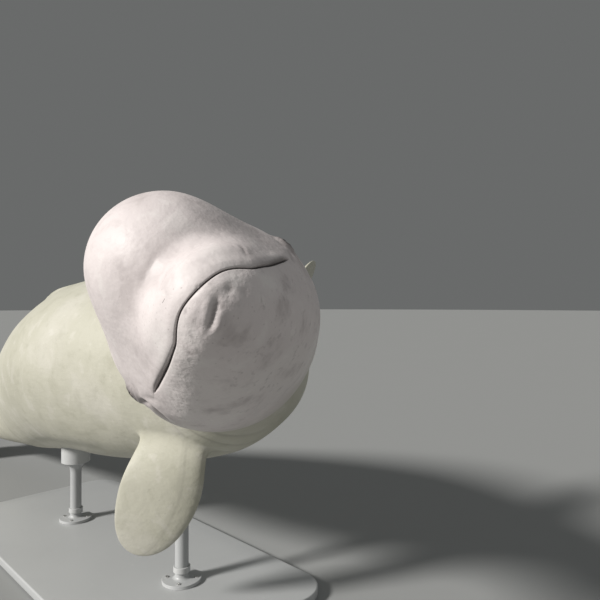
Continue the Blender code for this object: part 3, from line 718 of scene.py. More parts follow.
@dataclass(frozen=True)
class SoftFolds:
    """The shallow folds of fat: rings on the inner side of the bent neck, and rolls along the flanks.

    The skin is also a little uneven all over, by two products of waves whose lengths share no measure.
    A wave is given by its rates along x, y and z, and its shift.
    """

    neck_start: float = 0.56
    neck_end: float = 1.02
    neck_fades: Span = (0.12, 0.16)
    neck_side: Span = (0.02, 0.16)
    ring_pitch: float = 0.070
    ring_height: float = 0.0030
    ring_slant: float = 0.12
    ring_waver: float = 0.004
    ring_waver_rate: float = 31.0
    ring_shade: float = 0.25
    roll_start: float = 1.25
    roll_end: float = 2.70
    roll_fades: Span = (0.4, 0.5)
    roll_height: float = 0.0050
    roll_angle: float = -0.95
    roll_sway: float = 0.05
    roll_sway_rate: float = 4.0
    roll_width: float = 0.16
    dip_angle: float = -0.62
    dip_width: float = 0.10
    dip_share: float = 0.8
    unevenness: float = 0.0012
    uneven_ending: Span = (3.55, 3.35)
    waves: tuple[tuple[float, tuple[float, ...], tuple[float, ...]], ...] = (
        (1.0, (17.0, 5.0, 0.0, 0.0), (0.0, 13.0, -9.0, 0.0)),
        (0.6, (0.0, 11.0, 29.0, 2.0), (23.0, -19.0, 0.0, 0.0)),
    )

    @staticmethod
    def wave(points: np.ndarray, rates: tuple[float, ...]) -> np.ndarray:
        """One wave over the whale."""
        x, station, z = points[..., 0], points[..., 1], points[..., 2]
        return np.sin(rates[0] * x + rates[1] * station + rates[2] * z + rates[3])

    def relief(self, points: np.ndarray) -> Relief:
        """The folds' part of the skin."""
        x, station, z = points[..., 0], points[..., 1], points[..., 2]
        ends = between(station, self.neck_start, self.neck_end, *self.neck_fades)
        inner = smooth_step(-x, *self.neck_side)
        slanted = station + self.ring_slant * z + self.ring_waver * np.sin(self.ring_waver_rate * z)
        wave = 0.5 + 0.5 * np.cos(2.0 * math.pi * slanted / self.ring_pitch)
        rings = -self.ring_height * ends * inner * wave**3
        along = between(station, self.roll_start, self.roll_end, *self.roll_fades)
        angle = np.arctan2(z, np.abs(x))
        middle = self.roll_angle + self.roll_sway * np.sin(self.roll_sway_rate * station)
        dip = self.dip_share * bell(angle, self.dip_angle, self.dip_width)
        roll = bell(angle, middle, self.roll_width) - dip
        swells = sum(
            share * self.wave(points, first) * self.wave(points, second)
            for share, first, second in self.waves
        )
        kept = smooth_step(station, *self.uneven_ending)
        height = rings + self.roll_height * along * roll + self.unevenness * swells * kept
        return Relief(height, self.ring_shade * ends * inner * wave**6)


@dataclass(frozen=True)
class Flukes:
    """The tail: a leading edge out to rounded tips, and two lobes behind with a notch between."""

    root_station: float = 3.62
    half_span: float = 0.470
    root_half_width: float = 0.068
    sweep_power: float = 1.4
    tip_station: float = 3.965
    middle_station: float = 3.80
    notch_station: float = 3.925
    lobe: float = 0.115
    lobe_reach: float = 0.12
    thickness: float = 0.021
    thinning: float = 0.45
    edge_power: float = 0.8
    droop: float = 0.030
    tip_lag: float = 1.5
    keel_end: float = 1.05
    keel_spread: float = 1.15
    keel_narrow_by: float = 0.45
    blade_full_by: float = 0.35
    front_rows: int = 30
    rear_rows: int = 16

    def edge(self, station: np.ndarray) -> np.ndarray:
        """Half width at the leading edge."""
        share = (station - self.root_station) / (self.tip_station - self.root_station)
        spread = np.sin(math.pi / 2.0 * share) ** self.sweep_power
        return self.root_half_width + (self.half_span - self.root_half_width) * spread

    def trail(self, span: np.ndarray) -> np.ndarray:
        """Station of the trailing edge, for a span of 0 at the notch and 1 at the tip."""
        fall = self.notch_station + self.lobe - self.tip_station
        swell = self.lobe * (1.0 - np.exp(-span / self.lobe_reach))
        return self.notch_station + swell - fall * span**2

    def rings(self, turns: np.ndarray) -> np.ndarray:
        """Rings of points from the tail stock to the trailing edge.

        Args:
            turns: Where round the body each column lies.

        Returns:
            Points in the straight frame, a row for each ring.
        """
        out = np.cos(turns)
        span = np.abs(out)
        power = FLESH.trunk.power
        full = np.maximum(1.0 - span**power, 0.0) ** (1.0 / power)
        tips = self.tip_station - (self.tip_station - self.middle_station) * (1.0 - span**2)
        across, stations, fullness = [], [], []
        for share in np.linspace(0.0, 1.0, self.front_rows):
            station = self.root_station + (self.tip_station - self.root_station) * share
            across.append(self.edge(station) * out)
            stations.append(station + (tips - self.tip_station) * share**self.tip_lag)
            fullness.append(full)
        for share in np.sin(np.linspace(0.0, math.pi / 2.0, self.rear_rows + 1))[1:]:
            across.append(self.half_span * out)
            stations.append(tips + (self.trail(span) - tips) * share)
            fullness.append(full * (1.0 - share**2) ** self.edge_power)
        return self.raised(np.array(across), np.array(stations), np.array(fullness), np.sign(np.sin(turns)))

    def raised(self, x: np.ndarray, station: np.ndarray, fullness: np.ndarray, way: np.ndarray) -> np.ndarray:
        """Points of the flukes, given where they lie from above.

        Args:
            x: How far each is to the left.
            station: How far back each is.
            fullness: The share of the full thickness there.
            way: 1 on the upper face and -1 on the lower.

        Returns:
            The points in the straight frame.
        """
        across = np.abs(x) / self.half_span
        along = (station - self.root_station) / (self.notch_station - self.root_station)
        top, bottom = (float(FLESH.trunk.line(name, self.root_station)) for name in ("top", "bottom"))
        keel = (top - bottom) / 2.0 * (1.0 - smooth_step(along, 0.0, self.keel_end))
        narrowing = smooth_step(along, 0.0, self.keel_narrow_by)
        near_stock = bell(x, 0.0, self.root_half_width * self.keel_spread) ** narrowing
        grown = smooth_step(along, 0.0, self.blade_full_by)
        blade = self.thickness * grown * (1.0 - self.thinning * across)
        level = (top + bottom) / 2.0 - self.droop * across**2
        return np.stack((x, station, level + way * fullness * (keel * near_stock + blade)), -1)


@dataclass(frozen=True)
class Flipper:
    """One flipper: a paddle drawn out of the skin behind the neck."""

    side: Side
    root: Point
    out: Point
    lead: Point
    root_lead: Point
    station: float = 0.960
    length: float = 0.405
    root_half_chord: float = 0.115
    full_half_chord: float = 0.131
    full_at: float = 0.55
    tip_power: float = 3.6
    thickness: float = 0.030
    thinning: float = 0.62
    nose: float = 0.35
    sweep: float = 0.035
    curl: float = 0.030
    sunk: float = 0.110
    fillet: float = 0.034
    fillet_rows: int = 7
    rows: int = 34
    samples: int = 120
    turning: Span = (-0.05, 0.45)
    farthest_crossing: float = 0.6
    halvings: int = 12
    search: float = 1.2
    eased_rings: int = 4
    easing_rounds: int = 6

    def wall(self, share: np.ndarray, turn: np.ndarray) -> np.ndarray:
        """Points on the flipper's surface.

        Args:
            share: How far out each point is, 0 at the root and 1 at the tip.
            turn: Where round the section it is, 0 at the leading edge.

        Returns:
            The points in the straight frame.
        """
        out = unit(self.out)
        turned = smooth_step(share, *self.turning)[..., None]
        lead = unit(self.root_lead) * (1.0 - turned) + unit(self.lead) * turned
        lead = unit(lead - out * (lead @ out)[..., None])
        face = np.cross(out, lead)
        reach = np.maximum(share, 0.0)
        growth = (self.full_half_chord - self.root_half_chord) * smooth_step(share, 0.0, self.full_at)
        half = (self.root_half_chord + growth) * np.sqrt(np.maximum(1.0 - reach**self.tip_power, 0.0))
        thick = self.thickness * (1.0 - self.thinning * reach) * np.minimum(half / self.root_half_chord, 1.0)
        across = np.cos(turn)
        forward = half * across - self.sweep * reach**2
        upward = thick * np.sin(turn) * (1.0 + self.nose * across)
        upward = upward + self.curl * reach**3 * np.sign(self.root[0])
        middle = np.array(self.root) + out * (self.length * share)[..., None]
        return middle + lead * forward[..., None] + face * upward[..., None]

    def world(self, points: np.ndarray) -> np.ndarray:
        """The flipper's points as they lie on the posed whale."""
        return SPINE.lay_rigidly(points, self.station)

    def crossing(self, body: BVHTree, turn: np.ndarray) -> np.ndarray:
        """How far out the flipper's surface leaves the body, for each turn."""
        buried = np.full(turn.shape, -self.sunk / self.length)
        clear = np.full(turn.shape, self.farthest_crossing)
        for _ in range(self.halvings):
            middle = (buried + clear) / 2.0
            inside = np.array([is_inside(body, point) for point in self.world(self.wall(middle, turn))])
            buried = np.where(inside, middle, buried)
            clear = np.where(inside, clear, middle)
        return (buried + clear) / 2.0

    def outward(self, share: np.ndarray, turn: np.ndarray) -> np.ndarray:
        """The way out of the flipper's surface in the world."""
        step = 0.01
        round_it = self.world(self.wall(share, turn + step)) - self.world(self.wall(share, turn - step))
        along_it = self.world(self.wall(share + step, turn)) - self.world(self.wall(share - step, turn))
        normal = unit(np.cross(round_it, along_it))
        middle = (self.wall(share, turn) + self.wall(share, turn + math.pi)) / 2.0
        from_middle = self.world(self.wall(share, turn)) - self.world(middle)
        return normal * np.sign((normal * from_middle).sum(-1, keepdims=True))

    def grow(self, bm: bmesh.types.BMesh, straight: Any, body: BVHTree) -> None:
        """Opens the skin at the root and draws the flipper out of it.

        Args:
            bm: The posed skin.
            straight: The layer that holds each vertex's place on the straight whale.
            body: The posed skin as a tree.
        """
        turn = np.linspace(0.0, 2.0 * math.pi, self.samples + 1)
        leaves = self.crossing(body, turn)
        leaves_at = self.world(self.wall(leaves, turn))
        rim = nearest_points(body, leaves_at + self.outward(leaves, turn) * self.fillet)
        loop = self.opened(bm, rim)
        turns = np.interp(loop_places(loop, rim), arc_shares(rim), turn)
        places = np.stack([np.interp(turns, turn, rim[:, axis]) for axis in range(3)], -1)
        for vert, place in zip(loop, nearest_points(body, places)):
            vert.co = place
        self.eased(bm, loop, body)
        start = np.array([vert.co for vert in loop])
        left = np.interp(turns, turn, leaves)
        settled = left + self.fillet / self.length
        corner = self.world(self.wall(left, turns))
        end = self.world(self.wall(settled, turns))
        straight_start = np.array([vert[straight] for vert in loop])
        straight_end = self.wall(settled, turns)
        for share in np.linspace(0.0, 1.0, self.fillet_rows + 1)[1:]:
            row = start * (1.0 - share) ** 2 + 2.0 * corner * share * (1.0 - share) + end * share**2
            loop = drawn_out(bm, loop, row, straight, straight_start * (1.0 - share) + straight_end * share)
        for growth in np.sin(np.linspace(0.0, math.pi / 2.0, self.rows + 1))[1:]:
            points = self.wall(settled + (1.0 - settled) * growth, turns)
            loop = drawn_out(bm, loop, self.world(points), straight, points)
        bmesh.ops.pointmerge(bm, verts=loop, merge_co=loop[0].co)

    def opened(self, bm: bmesh.types.BMesh, rim: np.ndarray) -> list[bmesh.types.BMVert]:
        """Takes out the skin inside the rim.

        Args:
            bm: The posed skin.
            rim: Points on the skin round the flipper's root.

        Returns:
            The vertices round the hole, in order.
        """
        quarters = np.array((0.0, math.pi / 2.0, math.pi, 3.0 * math.pi / 2.0))
        base = self.world(self.wall(np.zeros(4), quarters))
        origin = rim.mean(0)
        axes = np.stack((unit(base[0] - base[2]), unit(base[1] - base[3])), -1)
        way = np.cross(axes[:, 0], axes[:, 1])
        outline = (rim - origin) @ axes
        widest = np.linalg.norm(rim - origin, axis=1).max()
        reach = self.search * widest
        near = [f for f in bm.faces if (f.calc_center_median() - Vector(origin)).length < reach]
        outwards = np.sign(sum(f.normal.dot(Vector(way)) for f in near))
        facing = [f for f in near if f.normal.dot(Vector(way)) * outwards > 0.0]
        centres = np.array([f.calc_center_median() for f in facing])
        inside = within((centres - origin) @ axes, outline)
        bmesh.ops.delete(bm, geom=[f for f, gone in zip(facing, inside) if gone], context="FACES")
        return ordered_loop([e for e in bm.edges if e.is_boundary])

    def eased(self, bm: bmesh.types.BMesh, loop: list[bmesh.types.BMVert], body: BVHTree) -> None:
        """Evens out the skin round the hole, without taking it off the body."""
        fixed = set(loop)
        ring, found = set(loop), set()
        for _ in range(self.eased_rings):
            ring = {e.other_vert(v) for v in ring for e in v.link_edges} - fixed - found
            found |= ring
        moving = sorted(found, key=lambda vert: vert.index)
        for _ in range(self.easing_rounds):
            bmesh.ops.smooth_vert(
                bm, verts=moving, factor=0.5, use_axis_x=True, use_axis_y=True, use_axis_z=True
            )
            for vert in moving:
                vert.co = body.find_nearest(vert.co)[0]


def is_inside(body: BVHTree, point: np.ndarray) -> bool:
    """Whether the point is under the skin."""
    place, normal, _, _ = body.find_nearest(Vector(point))
    return (Vector(point) - place).dot(normal) < 0.0


def nearest_points(body: BVHTree, points: np.ndarray) -> np.ndarray:
    """The nearest point of the skin to each point."""
    return np.array([body.find_nearest(Vector(point))[0] for point in points])


def within(points: np.ndarray, outline: np.ndarray) -> np.ndarray:
    """Which flat points lie inside a closed outline."""
    inside = np.zeros(len(points), bool)
    for (ax, ay), (bx, by) in zip(outline, np.roll(outline, -1, axis=0)):
        if ay == by:
            continue
        straddles = (points[:, 1] > ay) != (points[:, 1] > by)
        inside ^= straddles & (points[:, 0] < ax + (points[:, 1] - ay) / (by - ay) * (bx - ax))
    return inside


def arc_shares(points: np.ndarray) -> np.ndarray:
    """How far along a line each of its points is, from 0 to 1."""
    passed = np.concatenate(([0.0], np.cumsum(np.linalg.norm(np.diff(points, axis=0), axis=1))))
    return passed / passed[-1]


def ordered_loop(edges: Iterable[bmesh.types.BMEdge]) -> list[bmesh.types.BMVert]:
    """The vertices of a closed run of edges, in order."""
    left = set(edges)
    edge = min(left, key=lambda each: each.index)
    vert = edge.verts[0]
    loop = []
    while edge is not None:
        loop.append(vert)
        left.discard(edge)
        vert = edge.other_vert(vert)
        edge = next((e for e in vert.link_edges if e in left), None)
    return loop


def loop_places(loop: list[bmesh.types.BMVert], rim: np.ndarray) -> np.ndarray:
    """Where each vertex of a loop belongs on the rim.

    Args:
        loop: The vertices in order. They are put in the rim's order and start, in place.
        rim: The rim's points, the last the same as the first.

    Returns:
        The share along the rim for each vertex.
    """
    places = np.array([vert.co for vert in loop])
    nearest = np.array([np.argmin(np.linalg.norm(rim[:-1] - place, axis=1)) for place in places])
    steps = np.diff(nearest)
    if (steps > 0).sum() < (steps < 0).sum():
        loop.reverse()
        nearest = nearest[::-1]
    first = int(np.argmin(np.linalg.norm(np.array([vert.co for vert in loop]) - rim[0], axis=1)))
    loop[:] = loop[first:] + loop[:first]
    closed = np.array([vert.co for vert in [*loop, loop[0]]])
    return arc_shares(closed)[:-1]


def drawn_out(
    bm: bmesh.types.BMesh,
    loop: list[bmesh.types.BMVert],
    row: np.ndarray,
    straight: Any,
    places: np.ndarray,
) -> list[bmesh.types.BMVert]:
    """Extrudes a loop to its next row.

    Args:
        bm: The mesh.
        loop: The loop's vertices in order.
        row: Where the new vertices go.
        straight: The layer that holds each vertex's place on the straight whale.
        places: What it holds for the new vertices.

    Returns:
        The new loop in the same order.
    """
    edges = [bm.edges.get(pair) for pair in zip(loop, loop[1:] + loop[:1])]
    made = bmesh.ops.extrude_edge_only(bm, edges=edges)["geom"]
    new = {item for item in made if isinstance(item, bmesh.types.BMVert)}
    following = [next(e.other_vert(v) for e in v.link_edges if e.other_vert(v) in new) for v in loop]
    for vert, place, told in zip(following, row, places):
        vert.co = place
        vert[straight] = told
    return following


@dataclass(frozen=True)
class Stretch:
    """Flat rings between two stations, a pitch apart."""

    start: float
    end: float
    pitch: float

    def stations(self) -> np.ndarray:
        """The rings' stations, without the last."""
        count = max(int(round((self.end - self.start) / self.pitch)), 1)
        return np.linspace(self.start, self.end, count, endpoint=False)


@dataclass(frozen=True)
class WhaleSkin:
    """The whole whale as one skin, from the tip of its snout to the edges of its flukes."""

    columns: int = 208
    snout_rings: int = 92
    first_opening: float = 0.012
    stretches: tuple[Stretch, ...] = (
        Stretch(0.300, 0.600, 0.0042),
        Stretch(0.600, 1.240, 0.0094),
        Stretch(1.240, 3.250, 0.024),
        Stretch(3.250, 3.620, 0.0125),
    )
    crowd: float = 5.0
    crowd_width: float = 0.06
    crowd_end: float = 0.60
    level_by: float = 0.740
    face_end: float = 0.640
    tail_from: float = 3.0
    inset: float = 0.0009
    inset_fade: float = 0.5
    turn_samples: int = 7201
    weld: float = 1e-4
    fine_eye: tuple[float, ...] = (0.056, 0.031, 0.0165)
    flukes: Flukes = Flukes()
    lips: Lips = Lips()
    lids: tuple[Lids, ...] = (Lids(Side.LEFT), Lids(Side.RIGHT))
    blowhole: Blowhole = Blowhole()
    ridge: BackRidge = BackRidge()
    folds: SoftFolds = SoftFolds()
    creases: tuple[Crease, ...] = (
        # The wide valley between the melon and the upper lip.
        Crease(
            (
                (-0.092, 0.125, -0.008), (-0.050, 0.067, 0.030), (-0.022, 0.059, 0.037),
                (0.002, 0.057, 0.038), (0.036, 0.063, 0.038), (0.057, 0.071, 0.038),
                (0.080, 0.084, 0.031), (0.099, 0.099, 0.011), (0.111, 0.106, -0.018),
            ),
            depth=0.0014, width=0.0100, crest=0.0010, crest_width=0.016, painted_shade=0.08, fade=0.05,
        ),
        # The sharper line in that valley, on the whale's right.
        Crease(
            ((-0.070, 0.090, 0.014), (-0.050, 0.069, 0.028), (-0.022, 0.059, 0.036), (0.002, 0.057, 0.037)),
            depth=0.0016, width=0.0026, crest=0.0006, crest_width=0.005, painted_shade=0.34, fade=0.02,
        ),
        # The line from the valley down to the upper lip, on the whale's left.
        Crease(
            ((0.106, 0.088, -0.026), (0.107, 0.083, -0.040), (0.099, 0.063, -0.062), (0.090, 0.052, -0.080)),
            depth=0.0010, width=0.0026, crest=0.0006, crest_width=0.006, painted_shade=0.22, fade=0.03,
        ),
        # The crease across the chin.
        Crease(
            (
                (0.018, 0.003, -0.100), (0.003, 0.005, -0.111), (-0.010, 0.008, -0.118),
                (-0.021, 0.012, -0.124), (-0.031, 0.018, -0.128), (-0.043, 0.028, -0.132),
            ),
            depth=0.0040, width=0.0044, crest=0.0016, crest_width=0.007, painted_shade=0.46, fade=0.028,
        ),
        # The fold under each eye, back along the jaw and under the throat.
        Crease(
            (
                (0.212, 0.300, -0.036), (0.207, 0.297, -0.060), (0.207, 0.314, -0.078),
                (0.210, 0.346, -0.090), (0.206, 0.384, -0.112), (0.188, 0.420, -0.142),
                (0.150, 0.462, -0.170), (0.100, 0.496, -0.192),
            ),
            depth=0.0066, width=0.0080, crest=0.0030, crest_width=0.014, painted_shade=0.55, fade=0.010,
            end_fade=0.20, mirrored=True,
        ),
        # The soft line from each eye forward to the corner of the mouth.
        Crease(
            ((0.212, 0.286, -0.030), (0.204, 0.272, -0.046), (0.194, 0.256, -0.066), (0.182, 0.240, -0.080)),
            depth=0.0015, width=0.0068, crest=0.0008, crest_width=0.012, painted_shade=0.30, fade=0.025,
            mirrored=True,
        ),
    )
    mounds: tuple[Mound, ...] = (
        Mound((-0.012, 0.000, -0.096), 0.022, 0.0042),
        Mound((0.012, -0.001, -0.090), 0.018, 0.0022),
        Mound((-0.038, 0.008, -0.097), 0.018, 0.0026),
        Mound((-0.025, 0.019, -0.136), 0.010, 0.0026),
        Mound((0.034, 0.006, -0.094), 0.014, 0.0016),
        # Dents, with shade painted in them.
        Mound((0.006, 0.009, -0.122), 0.0045, -0.0022, 0.35),
        Mound((0.031, 0.010, -0.109), 0.0060, -0.0020, 0.25),
        Mound((0.047, 0.024, -0.125), 0.0080, -0.0016, 0.15),
        Mound((-0.037, 0.007, -0.088), 0.0028, -0.0012, 0.30),
        Mound((-0.059, 0.028, -0.116), 0.0034, -0.0012, 0.30),
        Mound((-0.081, 0.053, -0.121), 0.0034, -0.0010, 0.25),
    )
    flippers: tuple[Flipper, ...] = (
        Flipper(
            Side.RIGHT, (-0.235, 1.010, -0.112), (-0.670, 0.318, -0.671), (0.535, -0.421, -0.733),
            (0.31, -0.70, -0.64),
        ),
        Flipper(
            Side.LEFT, (0.220, 1.019, -0.075), (0.863, 0.235, 0.448), (-0.037, -0.854, 0.519),
            (0.17, -0.97, 0.18),
        ),
    )

    def crowded(self) -> np.ndarray:
        """Turns round the head, close together along the mouth line."""
        fine = np.linspace(0.0, 2.0 * math.pi, self.turn_samples)
        density = 1.0 + self.crowd * bell(np.sin(fine), 0.0, self.crowd_width)
        passed = np.concatenate(([0.0], np.cumsum((density[1:] + density[:-1]) / 2.0)))
        return np.interp(np.linspace(0.0, passed[-1], self.columns, endpoint=False), passed, fine)

    def grid(self) -> np.ndarray:
        """Every ring of the smooth body in the straight frame, from the snout to the trailing edge."""
        even = np.linspace(0.0, 2.0 * math.pi, self.columns, endpoint=False)
        crowded = self.crowded()
        openings = np.linspace(self.first_opening, math.pi / 2.0, self.snout_rings, endpoint=False)
        turns = crowded[None, :] + MOUTH.turn(openings)[:, None] * np.cos(crowded)[None, :]
        snout = FLESH.reach(*MOUTH.ray(openings[:, None] + 0.0 * turns, turns))
        stations = np.concatenate([stretch.stations() for stretch in self.stretches])
        tail = self.flukes.rings(even)
        return np.concatenate((snout, self.trunk_rings(stations, even, crowded, tail[0]), tail))

    def trunk_rings(
        self, stations: np.ndarray, even: np.ndarray, crowded: np.ndarray, last: np.ndarray
    ) -> np.ndarray:
        """The flat rings from the middle of the head to the flukes.

        Args:
            stations: Where the rings are.
            even: Even turns round the body.
            crowded: Turns that are close together along the mouth line.
            last: The first ring of the flukes, which the last rings lead to.

        Returns:
            Points on the smooth skin.
        """
        tilt = MOUTH.turn(np.array([math.pi / 2.0]))[0] * smooth_step(stations, self.level_by, stations[0])
        near_mouth = smooth_step(stations, self.crowd_end, stations[0])[:, None]
        turns = crowded * near_mouth + even * (1.0 - near_mouth)
        turns = turns + tilt[:, None] * np.cos(turns)
        middle = (FLESH.trunk.line("top", stations) + FLESH.trunk.line("bottom", stations)) / 2.0
        ending = np.arctan2(last[:, 2] - middle[-1], last[:, 0])
        change = (ending - turns + math.pi) % (2.0 * math.pi) - math.pi
        turns = turns + change * smooth_step(stations, self.tail_from, stations[-1])[:, None]
        directions = np.stack((np.cos(turns), 0.0 * turns, np.sin(turns)), -1)
        origins = np.zeros_like(directions)
        fade = smooth_step(stations, self.level_by, stations[0])
        origins[..., 1] = stations[:, None]
        origins[..., 2] = (MOUTH.tip_height * fade + middle * (1.0 - fade))[:, None]
        return FLESH.reach(origins, directions)

    def smooth_body(self) -> bmesh.types.BMesh:
        """The straight smooth body as a closed mesh."""
        grid = self.grid()
        rings = len(grid)
        bm = bmesh.new()
        bmesh.ops.create_uvsphere(bm, u_segments=self.columns, v_segments=rings + 1, radius=1.0)
        rear, tail_pole = [], None
        tip = FLESH.reach(*MOUTH.ray(np.zeros(1), np.zeros(1)))[0]
        for vert in bm.verts:
            row = round(math.acos(max(-1.0, min(1.0, vert.co.z))) / math.pi * (rings + 1))
            column = round(math.atan2(vert.co.y, vert.co.x) / (2.0 * math.pi) * self.columns) % self.columns
            if row == 0:
                vert.co = tip
            elif row == rings + 1:
                tail_pole = vert
            else:
                vert.co = grid[row - 1, column]
            if row > rings - self.flukes.rear_rows - 1:
                rear.append(vert)
        rear.remove(tail_pole)
        bmesh.ops.delete(bm, geom=[tail_pole], context="VERTS")
        bmesh.ops.remove_doubles(bm, verts=rear, dist=self.weld)
        return bm

    def refine(self, bm: bmesh.types.BMesh) -> None:
        """Makes the mesh finer round the eyes, and keeps it on the smooth skin."""
        for radius in self.fine_eye:
            centres = [Vector(lids.skin) for lids in self.lids]
            edges = {
                edge
                for face in bm.faces
                if min((face.calc_center_median() - centre).length for centre in centres) < radius
                for edge in face.edges
            }
            ordered = sorted(edges, key=lambda edge: edge.index)
            bmesh.ops.subdivide_edges(bm, edges=ordered, cuts=1, use_grid_fill=True)
            bm.verts.index_update()
            bm.edges.index_update()

    def relief(self, points: np.ndarray) -> Relief:
        """All that is raised from or sunk in the smooth skin."""
        total = self.ridge.relief(points) + self.folds.relief(points)
        near = points[:, 1] < self.face_end
        face = Relief(total.height[near], total.hollow[near])
        for feature in (self.lips, *self.lids, self.blowhole, *self.creases, *self.mounds):
            face = face + feature.relief(points[near])
        total.height[near] = face.height
        total.hollow[near] = face.hollow
        return total

    def build(self) -> bpy.types.Object:
        """Builds the skin.

        Returns:
            Its object, which keeps each point's place on the straight whale, its place by the mouth
            line, and the shade painted in its hollows with the dark skin round the eyes, as attributes.
        """
        bm = self.smooth_body()
        self.refine(bm)
        points = np.array([vert.co for vert in bm.verts])
        tail_stock = self.stretches[-1].start
        on_trunk = points[:, 1] < tail_stock
        near_eye = np.min([np.linalg.norm(points - lids.skin, axis=1) for lids in self.lids], axis=0)
        local = near_eye < 2.0 * max(self.fine_eye)
        points[local] = FLESH.settled(points[local])
        relief = self.relief(points)
        settle = self.inset * smooth_step(points[:, 1], tail_stock, tail_stock - self.inset_fade)
        height = np.where(on_trunk, relief.height - settle, 0.0)
        raised = np.where(on_trunk[:, None], points + FLESH.outward(points) * height[:, None], points)
        straight = bm.verts.layers.float_vector.new("straight")
        # Shade painted in creases, slits, dents and the lips, and the dark skin round the eyes, kept on each
        # vertex.
        shade = bm.verts.layers.float.new("hollow")
        for vert, place, told, dark in zip(bm.verts, SPINE.lay(raised), points, relief.hollow):
            vert.co = place
            vert[straight] = told
            vert[shade] = dark
        bm.normal_update()
        body = BVHTree.FromBMesh(bm)
        for flipper in self.flippers:
            flipper.grow(bm, straight, body)
        face_out(bm)
        log.info("skin: %d vertices, %d faces", len(bm.verts), len(bm.faces))
        obj = placed(bm, "skin")
        self.note(obj)
        return obj

    def note(self, obj: bpy.types.Object) -> None:
        """Writes the mouth line's coordinates on the skin."""
        mesh = obj.data
        straight = np.zeros(3 * len(mesh.vertices), np.float32)
        mesh.attributes["straight"].data.foreach_get("vector", straight)
        points = straight.reshape(-1, 3).astype(float)
        near = points[:, 1] < self.face_end
        told = np.ones((len(points), 3), np.float32)
        told[near, 0], told[near, 1] = MOUTH.coordinates(points[near])
        lipline = mesh.attributes.new("lipline", "FLOAT_VECTOR", "POINT")
        lipline.data.foreach_set("vector", told.ravel())


def face_out(bm: bmesh.types.BMesh) -> None:
    """Turns every face of a closed mesh outwards."""
    bmesh.ops.recalc_face_normals(bm, faces=bm.faces)
    if bm.calc_volume(signed=True) < 0.0:
        bmesh.ops.reverse_faces(bm, faces=bm.faces)


def placed(bm: bmesh.types.BMesh, name: str, smooth_below: float = 180.0) -> bpy.types.Object:
    """Makes an object of a mesh.

    Args:
        bm: The mesh, which is freed.
        name: The piece's name.
        smooth_below: Up to what angle in degrees its edges are shaded smooth.

    Returns:
        The object, at the origin.
    """
    mesh = bpy.data.meshes.new(name)
    bm.to_mesh(mesh)
    bm.free()
    mesh.shade_smooth()
    if smooth_below < 180.0:
        mesh.set_sharp_from_angle(angle=math.radians(smooth_below))
    obj = bpy.data.objects.new(name, mesh)
    bpy.context.scene.collection.objects.link(obj)
    return obj


def round_edges(bm: bmesh.types.BMesh, edges: list[bmesh.types.BMEdge], radius: float, steps: int) -> None:
    """Rounds some edges of a mesh off."""
    bmesh.ops.bevel(
        bm, geom=edges, offset=radius, segments=steps, profile=0.5, affect="EDGES", material=-1
    )


def spun(bm: bmesh.types.BMesh, profile: Sequence[tuple[float, float]], steps: int) -> None:
    """Spins a profile of distances from the axis and heights right round the Z axis."""
    verts = [bm.verts.new((radius, 0.0, height)) for radius, height in profile]
    edges = [bm.edges.new(pair) for pair in zip(verts, verts[1:])]
    bmesh.ops.spin(
        bm, geom=verts + edges, cent=(0.0, 0.0, 0.0), axis=(0.0, 0.0, 1.0), dvec=(0.0, 0.0, 0.0),
        angle=2.0 * math.pi, steps=steps, use_merge=True, use_duplicate=False,
    )
    bmesh.ops.remove_doubles(bm, verts=bm.verts, dist=1e-6)
    face_out(bm)


def middle_of(node: str) -> np.ndarray:
    """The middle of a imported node's box."""
    low, high = (np.array(corner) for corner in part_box(node))
    return (low + high) / 2.0


@dataclass(frozen=True)
class EyeBall:
    """One eye: a wet dark ball in the socket between its lids."""

    side: Side
    radius: float = 0.0164
    segments: int = 64

    def build(self) -> bpy.types.Object:
        """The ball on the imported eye's centre."""
        bm = bmesh.new()
        bmesh.ops.create_uvsphere(
            bm, u_segments=self.segments, v_segments=self.segments // 2, radius=self.radius
        )
        bmesh.ops.translate(bm, verts=bm.verts, vec=Vector(middle_of("eye_" + self.side.word)))
        face_out(bm)
        return placed(bm, "eyeball_" + self.side.word)


@dataclass(frozen=True)
class StandBase:
    """The flat base: a plate with round corners and an eased edge, on a thin dark foot pad."""

    corner: float = 0.120
    edge: float = 0.006
    corner_steps: int = 12
    edge_steps: int = 4
    foot_height: float = 0.004
    foot_inset: float = 0.012
    foot_edge: float = 0.0008
    smooth_below: float = 30.0

    def plate(self, low: np.ndarray, high: np.ndarray, corner: float, edge: float) -> bmesh.types.BMesh:
        """A plate with round corners.

        Args:
            low: Its low corner.
            high: Its high corner.
            corner: The radius of its upright corners.
            edge: The radius of its other edges.

        Returns:
            The closed mesh.
        """
        bm = bmesh.new()
        bmesh.ops.create_cube(bm, size=1.0)
        bmesh.ops.scale(bm, verts=bm.verts, vec=Vector(high - low))
        bmesh.ops.translate(bm, verts=bm.verts, vec=Vector((low + high) / 2.0))
        upright = [e for e in bm.edges if abs(e.verts[0].co.z - e.verts[1].co.z) > 0.5 * (high - low)[2]]
        round_edges(bm, upright, corner, self.corner_steps)
        bm.normal_update()
        rims = [e for e in bm.edges if len({abs(round(f.normal.z)) for f in e.link_faces}) == 2]
        round_edges(bm, rims, edge, self.edge_steps)
        face_out(bm)
        return bm

    def build(self) -> list[bpy.types.Object]:
        """The plate and its foot pad."""
        low, high = (np.array(corner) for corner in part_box("stand_base"))
        step = np.array((0.0, 0.0, self.foot_height))
        inset = np.array((self.foot_inset, self.foot_inset, 0.0))
        plate = self.plate(low + step, high, self.corner, self.edge)
        pad_top = np.array((high[0], high[1], low[2] + self.foot_height)) - inset
        pad = self.plate(low + inset, pad_top, self.corner - self.foot_inset, self.foot_edge)
        return [
            placed(plate, "base_plate", self.smooth_below),
            placed(pad, "base_foot_pad", self.smooth_below),
        ]


